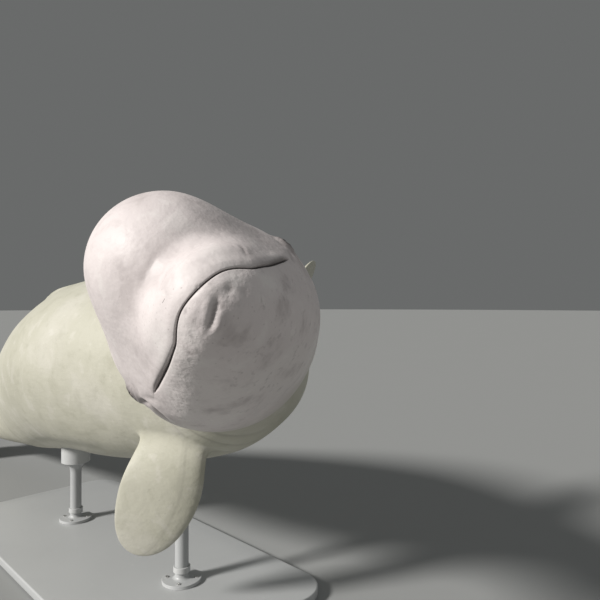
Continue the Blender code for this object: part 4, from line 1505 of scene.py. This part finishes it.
@dataclass(frozen=True)
class StandRod:
    """One rod with its flange below, four screws, and a saddle cup under the whale."""

    node: str
    radius: float = 0.024
    flange_radius: float = 0.070
    flange_height: float = 0.012
    fillet: float = 0.012
    saddle_radius: float = 0.062
    saddle_cone: float = 0.050
    saddle_drop: float = 0.080
    steps: int = 72
    ease: float = 0.001
    flange_rim: float = 0.002
    collar_height: float = 0.030
    collar_length: float = 0.020
    collar_proud: float = 0.006
    screws: int = 4
    screw_circle: float = 0.053
    screw_radius: float = 0.0062
    screw_height: float = 0.0034
    screw_sunk: float = 0.0006
    screw_steps: int = 36
    screw_ease: Span = (0.0007, 0.0006)
    socket_inset: float = 0.0020
    socket_taper: float = 0.0002
    socket_depth: float = 0.0022
    rod_smooth_below: float = 40.0
    screw_smooth_below: float = 35.0

    def profile(self, foot: float, top: float) -> list[tuple[float, float]]:
        """The rod's outline from the foot of its flange up to its saddle cup."""
        arc = [math.radians(angle) for angle in range(0, 91, 15)]
        rise = [math.radians(angle) for angle in range(0, 91, 10)]
        wide, rim = self.flange_radius, foot + self.flange_height
        points = [(0.0, foot), (wide - self.ease, foot), (wide, foot + self.ease)]
        eased = self.flange_rim
        points += [(wide - eased * (1.0 - math.cos(a)), rim - eased * (1.0 - math.sin(a))) for a in arc]
        r, f = self.radius, self.fillet
        points += [(r + f * (1.0 - math.sin(a)), rim + f * (1.0 - math.cos(a))) for a in arc]
        collar_top, proud = rim + f + self.collar_height, r + self.collar_proud
        collar_foot = collar_top - self.collar_length
        points += [(r, collar_foot), (proud - self.ease, collar_foot), (proud, collar_foot + self.ease)]
        points += [(proud, collar_top - self.ease), (proud - self.ease, collar_top), (r, collar_top)]
        cup, cone, spread = top - self.saddle_drop, self.saddle_cone, self.saddle_radius - r
        points += [(r + spread * (1.0 - math.cos(a)), cup - cone * (1.0 - math.sin(a))) for a in rise]
        points += [(self.saddle_radius, top), (0.0, top)]
        return points

    def build(self) -> list[bpy.types.Object]:
        """The rod and its screws."""
        low, high = (np.array(corner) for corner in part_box(self.node))
        middle = Vector(((low[0] + high[0]) / 2.0, (low[1] + high[1]) / 2.0, 0.0))
        bm = bmesh.new()
        spun(bm, self.profile(low[2], high[2]), self.steps)
        bmesh.ops.translate(bm, verts=bm.verts, vec=middle)
        bm_screws = bmesh.new()
        for count in range(self.screws):
            angle = 2.0 * math.pi * (count + 0.5) / self.screws
            at = middle + Vector((math.cos(angle), math.sin(angle), 0.0)) * self.screw_circle
            at.z = low[2] + self.flange_height - self.screw_sunk
            self.add_screw(bm_screws, at)
        face_out(bm_screws)
        return [
            placed(bm, self.node + "_rod", self.rod_smooth_below),
            placed(bm_screws, self.node + "_screws", self.screw_smooth_below),
        ]

    def add_screw(self, bm: bmesh.types.BMesh, at: Vector) -> None:
        """Adds a cap screw with an eased edge and a round socket."""
        made = bmesh.ops.create_circle(
            bm, cap_ends=True, segments=self.screw_steps, radius=self.screw_radius
        )["verts"]
        bmesh.ops.translate(bm, verts=made, vec=at)
        bottom = made[0].link_faces[0]
        top = bmesh.ops.extrude_face_region(bm, geom=[bottom])["geom"]
        face = next(item for item in top if isinstance(item, bmesh.types.BMFace))
        bmesh.ops.translate(bm, verts=face.verts, vec=(0.0, 0.0, self.screw_height))
        steps = (self.screw_ease, (self.socket_inset, 0.0), (self.socket_taper, -self.socket_depth))
        for inward, upward in steps:
            bmesh.ops.inset_region(bm, faces=[face], thickness=inward, depth=upward, use_even_offset=True)


class Sum:
    """A shader value that is worked with as an ordinary number."""

    def __init__(self, nodes: "Nodes", socket: Any) -> None:
        """Wraps the output socket of one material's node."""
        self.nodes = nodes
        self.socket = socket

    def joined(self, operation: str, *others: Any) -> "Sum":
        """This value put through a Math node with others."""
        values = dict(enumerate((self, *others)))
        return self.nodes.value("ShaderNodeMath", {"operation": operation}, values)

    def __add__(self, other: Any) -> "Sum":
        """The sum."""
        return self.joined("ADD", other)

    def __radd__(self, other: Any) -> "Sum":
        """The sum."""
        return self.joined("ADD", other)

    def __sub__(self, other: Any) -> "Sum":
        """The difference."""
        return self.joined("SUBTRACT", other)

    def __rsub__(self, other: float) -> "Sum":
        """A number less this value."""
        return self.nodes.value("ShaderNodeMath", {"operation": "SUBTRACT"}, {0: other, 1: self})

    def __mul__(self, other: Any) -> "Sum":
        """The product."""
        return self.joined("MULTIPLY", other)

    def __rmul__(self, other: Any) -> "Sum":
        """The product."""
        return self.joined("MULTIPLY", other)

    def __truediv__(self, other: Any) -> "Sum":
        """The quotient."""
        return self.joined("DIVIDE", other)

    def __abs__(self) -> "Sum":
        """The size without the sign."""
        return self.joined("ABSOLUTE")

    def step(self, low: float, high: float) -> "Sum":
        """0 before low, 1 past high, with no corner between."""
        settings = {"interpolation_type": "SMOOTHSTEP", "clamp": True}
        return self.nodes.value("ShaderNodeMapRange", settings, {0: self, 1: low, 2: high, 3: 0.0, 4: 1.0})

    def most(self, other: Any) -> "Sum":
        """The larger of the two."""
        return self.joined("MAXIMUM", other)

    def least(self, other: Any) -> "Sum":
        """The smaller of the two."""
        return self.joined("MINIMUM", other)


class Nodes:
    """The nodes of one material, made with short calls."""

    def __init__(self, name: str) -> None:
        """Makes an empty material.

        Args:
            name: What it is called.
        """
        self.material = bpy.data.materials.new(name)
        self.material.use_nodes = True
        self.tree = self.material.node_tree
        self.tree.nodes.clear()

    def node(self, kind: str, settings: Settings = None, values: Inputs = None) -> Any:
        """Makes a node.

        Args:
            kind: Its type.
            settings: Its own settings, set first.
            values: The numbers or links of its inputs, by name or index.

        Returns:
            The node.
        """
        made = self.tree.nodes.new(kind)
        for name, setting in (settings or {}).items():
            setattr(made, name, setting)
        for name, value in (values or {}).items():
            self.feed(made.inputs[name], value)
        return made

    def feed(self, socket: Any, value: Any) -> None:
        """Gives an input its number or link."""
        if isinstance(value, Sum):
            value = value.socket
        if isinstance(value, bpy.types.NodeSocket):
            self.tree.links.new(value, socket)
        elif isinstance(value, tuple) and len(value) == 3 and socket.type == "RGBA":
            socket.default_value = (*value, 1.0)
        else:
            socket.default_value = value

    def value(self, kind: str, settings: Settings = None, values: Inputs = None, out: Any = 0) -> Sum:
        """Makes a node and wraps one of its outputs."""
        return Sum(self, self.node(kind, settings, values).outputs[out])

    def place(self, name: str | None = None) -> Any:
        """Object coordinates, or a vector kept on the mesh under a name."""
        if name is None:
            return self.node("ShaderNodeTexCoord").outputs["Object"]
        return self.node("ShaderNodeAttribute", {"attribute_name": name}).outputs["Vector"]

    def kept(self, name: str) -> Sum:
        """A number kept on the mesh under a name."""
        return self.value("ShaderNodeAttribute", {"attribute_name": name}, None, "Fac")

    def axes(self, place: Any) -> tuple[Sum, Sum, Sum]:
        """The three parts of a vector."""
        parts = self.node("ShaderNodeSeparateXYZ", None, {0: place})
        return tuple(Sum(self, out) for out in parts.outputs)

    def vector(self, operation: str, *values: Any, out: Any = 0) -> Any:
        """A Vector Math node's output."""
        made = self.node("ShaderNodeVectorMath", {"operation": operation}, dict(enumerate(values)))
        return made.outputs[out]

    def scaled(self, place: Any, scale: tuple[float, float, float]) -> Any:
        """A vector with its parts scaled."""
        return self.vector("MULTIPLY", place, scale)

    def noise(self, place: Any, scale: float, detail: float, roughness: float) -> Sum:
        """Noise from 0 to 1."""
        values = {"Vector": place, "Scale": scale, "Detail": detail, "Roughness": roughness}
        return self.value("ShaderNodeTexNoise", None, values, "Fac")

    def dots(self, place: Any, scale: float, low: float, high: float) -> Sum:
        """Round spots: 1 at the middle of each cell of a Voronoi pattern, 0 past the high distance."""
        values = {"Vector": place, "Scale": scale}
        return 1.0 - self.value("ShaderNodeTexVoronoi", None, values, "Distance").step(low, high)

    def mix(self, share: Any, first: Any, second: Any) -> Any:
        """One colour over another."""
        settings = {"data_type": "RGBA", "clamp_factor": True}
        return self.node("ShaderNodeMix", settings, {0: share, 6: first, 7: second}).outputs[2]

    def bump(self, height: Any, distance: float) -> Any:
        """A normal from a height, whose unit is the distance."""
        return self.node("ShaderNodeBump", None, {"Height": height, "Distance": distance}).outputs["Normal"]

    def finish(self, **values: Any) -> bpy.types.Material:
        """Ends the material in one Principled shader.

        Args:
            values: Its inputs by name, with _ for a space.

        Returns:
            The material.
        """
        inputs = {name.replace("_", " "): value for name, value in values.items()}
        shader = self.node("ShaderNodeBsdfPrincipled", None, inputs)
        self.node("ShaderNodeOutputMaterial", None, {"Surface": shader.outputs[0]})
        return self.material


@dataclass(frozen=True)
class Scratch:
    """A short fine mark on the skin between two points of the straight whale."""

    start: Point
    end: Point
    width: float = 0.0011
    core: float = 0.3
    light: bool = True

    def mask(self, nodes: Nodes, place: Any) -> Sum:
        """1 on the mark and 0 off it."""
        reach = tuple(e - s for s, e in zip(self.start, self.end))
        length_squared = sum(part * part for part in reach)
        offset = nodes.vector("SUBTRACT", place, self.start)
        share = Sum(nodes, nodes.vector("DOT_PRODUCT", offset, reach, out="Value")) / length_squared
        share = share.most(0.0).least(1.0)
        along = nodes.node("ShaderNodeVectorMath", {"operation": "SCALE"}, {0: reach, "Scale": share})
        apart = Sum(nodes, nodes.vector("DISTANCE", offset, along.outputs[0], out="Value"))
        return 1.0 - apart.step(self.core * self.width, self.width)


@dataclass(frozen=True)
class Grain:
    """One noise of a finish, by its scale, detail and roughness."""

    scale: float
    detail: float
    roughness: float

    def level(self, nodes: Nodes, place: Any) -> Sum:
        """The noise, from 0 to 1."""
        return nodes.noise(place, self.scale, self.detail, self.roughness)

    def swing(self, nodes: Nodes, place: Any) -> Sum:
        """The noise, about 0."""
        return self.level(nodes, place) - 0.5


@dataclass(frozen=True)
class Patches:
    """Soft patches: dark where a noise is past two levels, or light where it is short of them."""

    grain: Grain
    levels: Span
    cover: float
    # More cover on the chin; on dark patches this is partly mottling and partly painted shade under the head.
    on_chin: float = 0.0
    behind: float = 0.0
    light: bool = False

    def share(self, nodes: Nodes, place: Any, rear: Sum, chin: Sum) -> Sum:
        """How strongly the patches cover the skin."""
        past = self.grain.level(nodes, place).step(*self.levels)
        return (1.0 - past if self.light else past) * (chin * self.on_chin - rear * self.behind + self.cover)


@dataclass(frozen=True)
class Bumps:
    """Fine relief of one grain, by its height in millimetres and what the chin adds to that."""

    grain: Grain
    height: float
    on_chin: float = 0.0

    def relief(self, nodes: Nodes, place: Any, chin: Sum) -> Sum:
        """The relief, above and below the skin."""
        return self.grain.swing(nodes, place) * (chin * self.on_chin + self.height)


@dataclass(frozen=True)
class WhaleFinish:
    """White whale skin: warm on the head, creamy behind, softly mottled, with fine creases and marks, and
    shade painted in its hollows, along the parting of the mouth and partly on the chin.
    """

    head: Colour = (0.700, 0.640, 0.630)
    trunk: Colour = (0.500, 0.488, 0.405)
    pale: Colour = (0.820, 0.780, 0.755)
    mauve: Colour = (0.290, 0.250, 0.245)
    moss: Colour = (0.310, 0.305, 0.225)
    # The colour of the shade painted in hollows and of the dark skin round the eyes; also the dark scratches.
    fold: Colour = (0.032, 0.024, 0.023)
    # The colour of the shade painted along the parting of the mouth.
    parting: Colour = (0.030, 0.023, 0.022)
    rear_span: Span = (0.34, 0.80)
    chin_back: Span = (0.26, 0.44)
    chin_top: Span = (-0.125, -0.070)
    fold_share: float = 0.94
    parting_share: float = 0.92
    parting_width: float = 0.0017
    parting_growth: float = 0.0010
    parting_grows: Span = (0.05, 0.20)
    parting_core: float = 0.25
    parting_ends: Span = (0.285, 0.320)
    roughness: float = 0.54
    wear: Grain = Grain(9.0, 4.0, 0.55)
    wear_share: float = 0.20
    pores: Grain = Grain(210.0, 3.0, 0.6)
    pore_share: float = 0.12
    rough_in_folds: float = 0.06
    warp_scale: float = 5.0
    warp_detail: float = 2.0
    warp_reach: float = 0.10
    # The dark patches that grow on the chin are partly mottling and partly painted shade under the head.
    patches: tuple[Patches, ...] = (
        Patches(Grain(3.4, 3.0, 0.5), (0.50, 0.74), 0.30, on_chin=0.14),
        Patches(Grain(3.4, 3.0, 0.5), (0.30, 0.47), 0.45, behind=0.27, light=True),
        Patches(Grain(13.0, 4.0, 0.62), (0.50, 0.74), 0.30, on_chin=0.16),
        Patches(Grain(13.0, 4.0, 0.62), (0.33, 0.45), 0.35, behind=0.20, light=True),
        Patches(Grain(47.0, 4.0, 0.65), (0.56, 0.72), 0.14, on_chin=0.22),
    )
    freckle_scale: float = 78.0
    freckle_size: Span = (0.07, 0.17)
    freckle_share: float = 0.34
    gathering: Grain = Grain(7.0, 2.0, 0.5)
    gathering_levels: Span = (0.48, 0.66)
    mark_share: float = 0.55
    lip_band: Span = (0.004, 0.020)
    lip_band_ends: Span = (0.22, 0.30)
    wrinkle_rates: Span = (105.0, 30.0)
    wrinkles: Grain = Grain(1.0, 2.0, 0.5)
    wrinkle_height: float = 0.55
    bumps: tuple[Bumps, ...] = (
        Bumps(Grain(24.0, 3.0, 0.5), 1.8, 0.9),
        Bumps(Grain(52.0, 2.0, 0.5), 0.3, 0.9),
        Bumps(Grain(95.0, 3.0, 0.55), 0.42, 0.40),
        Bumps(Grain(620.0, 2.0, 0.6), 0.10),
    )
    long_rates: Point = (60.0, 11.0, 60.0)
    long_folds: Grain = Grain(1.0, 3.0, 0.6)
    long_height: Span = (0.25, 0.35)
    pit_scale: float = 120.0
    pit_size: Span = (0.05, 0.22)
    pit_depth: Span = (0.04, 0.12)
    marks: tuple[Scratch, ...] = (
        Scratch((-0.045, 0.011, -0.038), (-0.035, 0.002, -0.056)),
        Scratch((-0.054, 0.014, -0.046), (-0.047, 0.010, -0.046), light=False),
        Scratch((0.139, 0.208, -0.157), (0.141, 0.253, -0.174)),
        Scratch((0.122, 0.210, -0.172), (0.127, 0.247, -0.182)),
        Scratch((0.061, 0.090, 0.075), (0.071, 0.108, 0.118)),
        Scratch((-0.098, 0.150, 0.140), (-0.104, 0.176, 0.165)),
        Scratch((-0.150, 0.230, -0.130), (-0.163, 0.262, -0.118)),
    )

    def material(self) -> bpy.types.Material:
        """Builds the skin's material."""
        nodes = Nodes("whale_skin")
        place = nodes.place("straight")
        _, station, height = nodes.axes(place)
        above, along, _ = nodes.axes(nodes.place("lipline"))
        hollow = nodes.kept("hollow")
        rear = station.step(*self.rear_span)
        chin = (1.0 - station.step(*self.chin_back)) * (1.0 - height.step(*self.chin_top))
        colour = nodes.mix(rear, self.head, self.trunk)
        colour = self.mottled(nodes, place, colour, rear, chin)
        colour = self.marked(nodes, place, colour)
        # Paints the shade of the hollows, and the dark skin round the eyes.
        colour = nodes.mix(hollow * self.fold_share, colour, self.fold)
        # Painted shade along the parting of the mouth, wider towards its corners.
        reach = self.parting_width + along.step(*self.parting_grows) * self.parting_growth
        parting = (1.0 - (abs(above) / reach).step(self.parting_core, 1.0)) * (
            1.0 - along.step(*self.parting_ends)
        )
        colour = nodes.mix(parting * self.parting_share, colour, self.parting)
        roughness = self.roughness + self.wear.swing(nodes, place) * self.wear_share
        roughness = roughness + self.pores.swing(nodes, place) * self.pore_share
        roughness = roughness + hollow * self.rough_in_folds
        return nodes.finish(
            Base_Color=colour,
            Roughness=roughness,
            Normal=self.creased(nodes, place, above, along, rear, chin),
            Specular_IOR_Level=0.34,
            Coat_Weight=0.03,
            Coat_Roughness=0.30,
        )

    def mottled(self, nodes: Nodes, place: Any, colour: Any, rear: Sum, chin: Sum) -> Any:
        """Lays the soft patches on.

        Args:
            nodes: The material.
            place: Places on the straight whale.
            colour: What lies under the patches.
            rear: 0 on the head and 1 behind it.
            chin: 1 on the chin.

        Returns:
            The colour with its patches.
        """
        noise = {"Vector": place, "Scale": self.warp_scale, "Detail": self.warp_detail}
        warp = nodes.node("ShaderNodeTexNoise", None, noise).outputs["Color"]
        bent = nodes.vector("MULTIPLY_ADD", warp, (self.warp_reach,) * 3, place)
        dark = nodes.mix(rear, self.mauve, self.moss)
        for patches in self.patches:
            share = patches.share(nodes, bent, rear, chin)
            colour = nodes.mix(share, colour, self.pale if patches.light else dark)
        gathered = self.gathering.level(nodes, place).step(*self.gathering_levels)
        freckles = nodes.dots(place, self.freckle_scale, *self.freckle_size) * gathered
        return nodes.mix(freckles * self.freckle_share, colour, self.mauve)

    def marked(self, nodes: Nodes, place: Any, colour: Any) -> Any:
        """Draws the fine marks."""
        for mark in self.marks:
            share = mark.mask(nodes, place) * self.mark_share
            colour = nodes.mix(share, colour, self.pale if mark.light else self.fold)
        return colour

    def creased(self, nodes: Nodes, place: Any, above: Sum, along: Sum, rear: Sum, chin: Sum) -> Any:
        """The fine relief, in millimetres.

        Args:
            nodes: The material.
            place: Places on the straight whale.
            above: How far above the mouth line each is.
            along: How far along it.
            rear: 0 on the head and 1 behind it.
            chin: 1 on the chin.

        Returns:
            The bumped normal.
        """
        near_lips = (1.0 - abs(above).step(*self.lip_band)) * (1.0 - along.step(*self.lip_band_ends))
        along_lips, off_lips = self.wrinkle_rates
        by_lips = nodes.node("ShaderNodeCombineXYZ", None, {0: along * along_lips, 1: above * off_lips})
        relief = self.wrinkles.swing(nodes, by_lips.outputs[0]) * near_lips * self.wrinkle_height
        for bumps in self.bumps:
            relief = relief + bumps.relief(nodes, place, chin)
        on_head, more_behind = self.long_height
        long_folds = self.long_folds.swing(nodes, nodes.scaled(place, self.long_rates))
        relief = relief + long_folds * (on_head + rear * more_behind)
        depth, more_on_chin = self.pit_depth
        pits = nodes.dots(place, self.pit_scale, *self.pit_size) * (depth + chin * more_on_chin)
        return nodes.bump(relief - pits, MILLIMETRE)


@dataclass(frozen=True)
class EyeFinish:
    """A wet dark eye: a nearly black brown ball, a blacker pupil and a pale rim far back."""

    side: Side
    iris: Colour = (0.030, 0.018, 0.012)
    pupil: Colour = (0.004, 0.004, 0.005)
    white: Colour = (0.230, 0.190, 0.175)
    fibre: Colour = (0.060, 0.036, 0.022)
    pupil_radius: float = 0.0042
    pupil_fade: float = 1.25
    iris_radius: float = 0.0098
    iris_fade: float = 1.15
    fibres: Grain = Grain(900.0, 3.0, 0.6)
    fibre_levels: Span = (0.5, 0.8)
    fibre_share: float = 0.3
    ripples: Grain = Grain(300.0, 2.0, 0.5)
    ripple_height: float = 0.00006
    roughness: float = 0.09
    unevenness: float = 0.05

    def material(self, centre: np.ndarray, outward: np.ndarray) -> bpy.types.Material:
        """Builds the eye's material.

        Args:
            centre: The middle of the ball.
            outward: Where the eye looks.

        Returns:
            The material.
        """
        nodes = Nodes("wet_eye_" + self.side.word)
        offset = nodes.vector("SUBTRACT", nodes.place(), tuple(map(float, centre)))
        facing = Sum(nodes, nodes.vector("DOT_PRODUCT", offset, tuple(map(float, outward)), out="Value"))
        from_axis = Sum(nodes, nodes.vector("CROSS_PRODUCT", offset, tuple(map(float, outward))))
        radius = Sum(nodes, nodes.vector("LENGTH", from_axis.socket, out="Value"))
        fibres = self.fibres.level(nodes, nodes.place())
        off_pupil = radius.step(self.pupil_radius, self.pupil_radius * self.pupil_fade)
        colour = nodes.mix(off_pupil, self.pupil, self.iris)
        colour = nodes.mix(fibres.step(*self.fibre_levels) * self.fibre_share, colour, self.fibre)
        off_iris = radius.step(self.iris_radius, self.iris_radius * self.iris_fade)
        colour = nodes.mix(off_iris.most(1.0 - facing.step(-MILLIMETRE, MILLIMETRE)), colour, self.white)
        return nodes.finish(
            Base_Color=colour,
            Roughness=self.roughness + (fibres - 0.5) * self.unevenness,
            Normal=nodes.bump(self.ripples.level(nodes, nodes.place()), self.ripple_height),
            Coat_Weight=1.0,
            Coat_Roughness=0.03,
            Specular_IOR_Level=0.6,
        )


@dataclass(frozen=True)
class StandFinish:
    """Paint, steel or rubber on the stand: an even colour, a fine texture and light wear at the edges."""

    name: str
    colour: Colour
    worn: Colour
    roughness: float = 0.42
    metallic: float = 0.0
    texture_height: float = 0.00005
    clouds: Grain = Grain(3.0, 4.0, 0.55)
    cloud_levels: Span = (0.30, 0.72)
    cloud_share: float = 0.35
    cloud_tone: float = 0.88
    cloud_roughness: float = 0.12
    texture: Grain = Grain(520.0, 2.0, 0.5)
    dust: Grain = Grain(38.0, 5.0, 0.68)
    dust_levels: Span = (0.60, 0.80)
    dust_share: float = 0.22
    dust_roughness: float = 0.10
    dust_height: float = 0.6
    rim_levels: Span = (0.515, 0.560)
    rim_share: float = 0.55
    scuff_stretch: Point = (14.0, 3.0, 14.0)
    scuffs: Grain = Grain(6.0, 5.0, 0.7)
    scuff_levels: Span = (0.62, 0.74)
    scuff_share: float = 0.10

    def material(self) -> bpy.types.Material:
        """Builds the finish's material."""
        nodes = Nodes(self.name)
        place = nodes.place()
        cloud = self.clouds.level(nodes, place)
        texture = self.texture.level(nodes, place)
        dust = self.dust.level(nodes, place)
        rims = nodes.value("ShaderNodeNewGeometry", None, None, "Pointiness").step(*self.rim_levels)
        scuffs = self.scuffs.level(nodes, nodes.scaled(place, self.scuff_stretch)).step(*self.scuff_levels)
        deeper = tuple(self.cloud_tone * part for part in self.colour)
        colour = nodes.mix(cloud.step(*self.cloud_levels) * self.cloud_share, self.colour, deeper)
        colour = nodes.mix(dust.step(*self.dust_levels) * self.dust_share, colour, self.worn)
        wear = (rims * self.rim_share + scuffs * self.scuff_share).least(1.0)
        colour = nodes.mix(wear, colour, self.worn)
        unevenness = (cloud - 0.5) * self.cloud_roughness + (dust - 0.5) * self.dust_roughness
        return nodes.finish(
            Base_Color=colour,
            Roughness=self.roughness + unevenness,
            Metallic=self.metallic,
            Normal=nodes.bump(texture + dust * self.dust_height, self.texture_height),
            Specular_IOR_Level=0.5,
        )


@dataclass(frozen=True)
class SunLight:
    """A soft far light, like a large studio window."""

    name: str
    source: Point
    strength: float
    softness_deg: float
    colour: Colour

    def hang(self) -> None:
        """Adds the light."""
        data = bpy.data.lights.new(self.name, "SUN")
        data.energy = self.strength
        data.angle = math.radians(self.softness_deg)
        data.color = self.colour
        lamp = bpy.data.objects.new(self.name, data)
        lamp.rotation_euler = Vector(self.source).to_track_quat("Z", "Y").to_euler()
        bpy.context.scene.collection.objects.link(lamp)


@dataclass(frozen=True)
class Studio:
    """The plain pale floor, the soft light and the camera."""

    floor_radius: float = 60.0
    floor_colour: Colour = (0.310, 0.316, 0.312)
    sky: Colour = (0.525, 0.540, 0.535)
    sky_strength: float = 0.27
    suns: tuple[SunLight, ...] = (
        SunLight("key", (-0.836, 0.224, 0.50), 4.5, 10.0, (1.0, 0.975, 0.945)),
        SunLight("fill", (0.30, -0.50, 0.80), 0.30, 40.0, (0.97, 0.99, 1.0)),
    )
    eye: Point = (-1.094, -2.164, 1.037)
    heading: Point = (1.0, 1.0, 0.0)
    lens: float = 33.6
    sensor: float = 36.0
    tone: str = "Standard"

    def lay_floor(self) -> None:
        """Adds the floor, which isn't part of the object."""
        bm = bmesh.new()
        bmesh.ops.create_circle(bm, cap_ends=True, segments=96, radius=self.floor_radius)
        floor = placed(bm, "studio_floor")
        nodes = Nodes("pale_floor")
        cloud = nodes.noise(nodes.place(), 0.9, 3.0, 0.5)
        colour = nodes.mix(cloud * 0.25, self.floor_colour, tuple(0.95 * part for part in self.floor_colour))
        floor.data.materials.append(nodes.finish(Base_Color=colour, Roughness=0.9, Specular_IOR_Level=0.04))

    def light(self) -> None:
        """Adds the lights and the sky."""
        world = bpy.data.worlds.new("studio")
        world.use_nodes = True
        background = world.node_tree.nodes["Background"]
        background.inputs["Color"].default_value = (*self.sky, 1.0)
        background.inputs["Strength"].default_value = self.sky_strength
        bpy.context.scene.world = world
        bpy.context.scene.view_settings.view_transform = self.tone
        for sun in self.suns:
            sun.hang()

    def set_camera(self) -> None:
        """Sets the camera as the photograph has it."""
        data = bpy.data.cameras.new("camera")
        data.lens = self.lens
        data.sensor_width = self.sensor
        data.clip_end = 200.0
        camera = bpy.data.objects.new("camera", data)
        camera.location = self.eye
        camera.rotation_euler = Vector(self.heading).to_track_quat("-Z", "Y").to_euler()
        bpy.context.scene.collection.objects.link(camera)
        bpy.context.scene.camera = camera


@dataclass(frozen=True)
class Whale:
    """The whale itself: its skin and its eyes."""

    skin: WhaleSkin = WhaleSkin()
    finish: WhaleFinish = WhaleFinish()
    nodes: tuple[str, ...] = (
        "head", "lower_jaw", "neck", "chest", "belly", "tail_stock",
        "fluke_left", "fluke_right", "flipper_left", "flipper_right",
    )

    def make(self) -> None:
        """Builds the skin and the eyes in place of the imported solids."""
        skin = self.skin.build()
        skin.data.materials.append(self.finish.material())
        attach(skin, BODY)
        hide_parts(*self.nodes)
        log.info("skin in place")
        for side in Side:
            self.make_eye(side)

    def make_eye(self, side: Side) -> None:
        """Builds one eye."""
        ball = EyeBall(side).build()
        lids = Lids(side)
        centre = middle_of("eye_" + side.word)
        posed = SPINE.lay(np.array((lids.centre, lids.skin)))
        log.info("eye_%s: %.2f mm off its lids", side.word, 1000.0 * float(np.linalg.norm(posed[0] - centre)))
        ball.data.materials.append(EyeFinish(side).material(centre, unit(posed[1] - posed[0])))
        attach(ball, BODY)
        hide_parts("eye_" + side.word)


@dataclass(frozen=True)
class Stand:
    """The display stand: a flat base and two short rods."""

    base: StandBase = StandBase()
    rods: tuple[StandRod, ...] = (StandRod("stand_rod_front"), StandRod("stand_rod_rear"))
    paint: StandFinish = StandFinish("pale_grey_paint", (0.420, 0.430, 0.430), (0.560, 0.565, 0.560))
    steel: StandFinish = StandFinish(
        "dull_steel", (0.500, 0.500, 0.490), (0.640, 0.640, 0.630), 0.34, 0.9, 0.00003
    )
    rubber: StandFinish = StandFinish("dark_rubber", (0.040, 0.040, 0.042), (0.080, 0.080, 0.080), 0.70)

    def make(self) -> None:
        """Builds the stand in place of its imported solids."""
        paint, steel, rubber = (finish.material() for finish in (self.paint, self.steel, self.rubber))
        plate, pad = self.base.build()
        for piece, material in ((plate, paint), (pad, rubber)):
            self.settle(piece, material, "stand_base")
        log.info("base in place")
        for rod in self.rods:
            shaft, screws = rod.build()
            self.settle(shaft, paint, rod.node)
            self.settle(screws, steel, rod.node)
            log.info("%s in place", rod.node)

    @staticmethod
    def settle(piece: bpy.types.Object, material: bpy.types.Material, node: str) -> None:
        """Dresses a piece and puts it in its node's place."""
        piece.data.materials.append(material)
        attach(piece, BODY)
        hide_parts(node)


def main() -> None:
    """Builds the dressed whale, its stand and the studio."""
    logging.basicConfig(level=logging.INFO, format="%(message)s")
    studio = Studio()
    studio.set_camera()
    studio.lay_floor()
    studio.light()
    Whale().make()
    Stand().make()


if __name__ == "__main__":
    main()
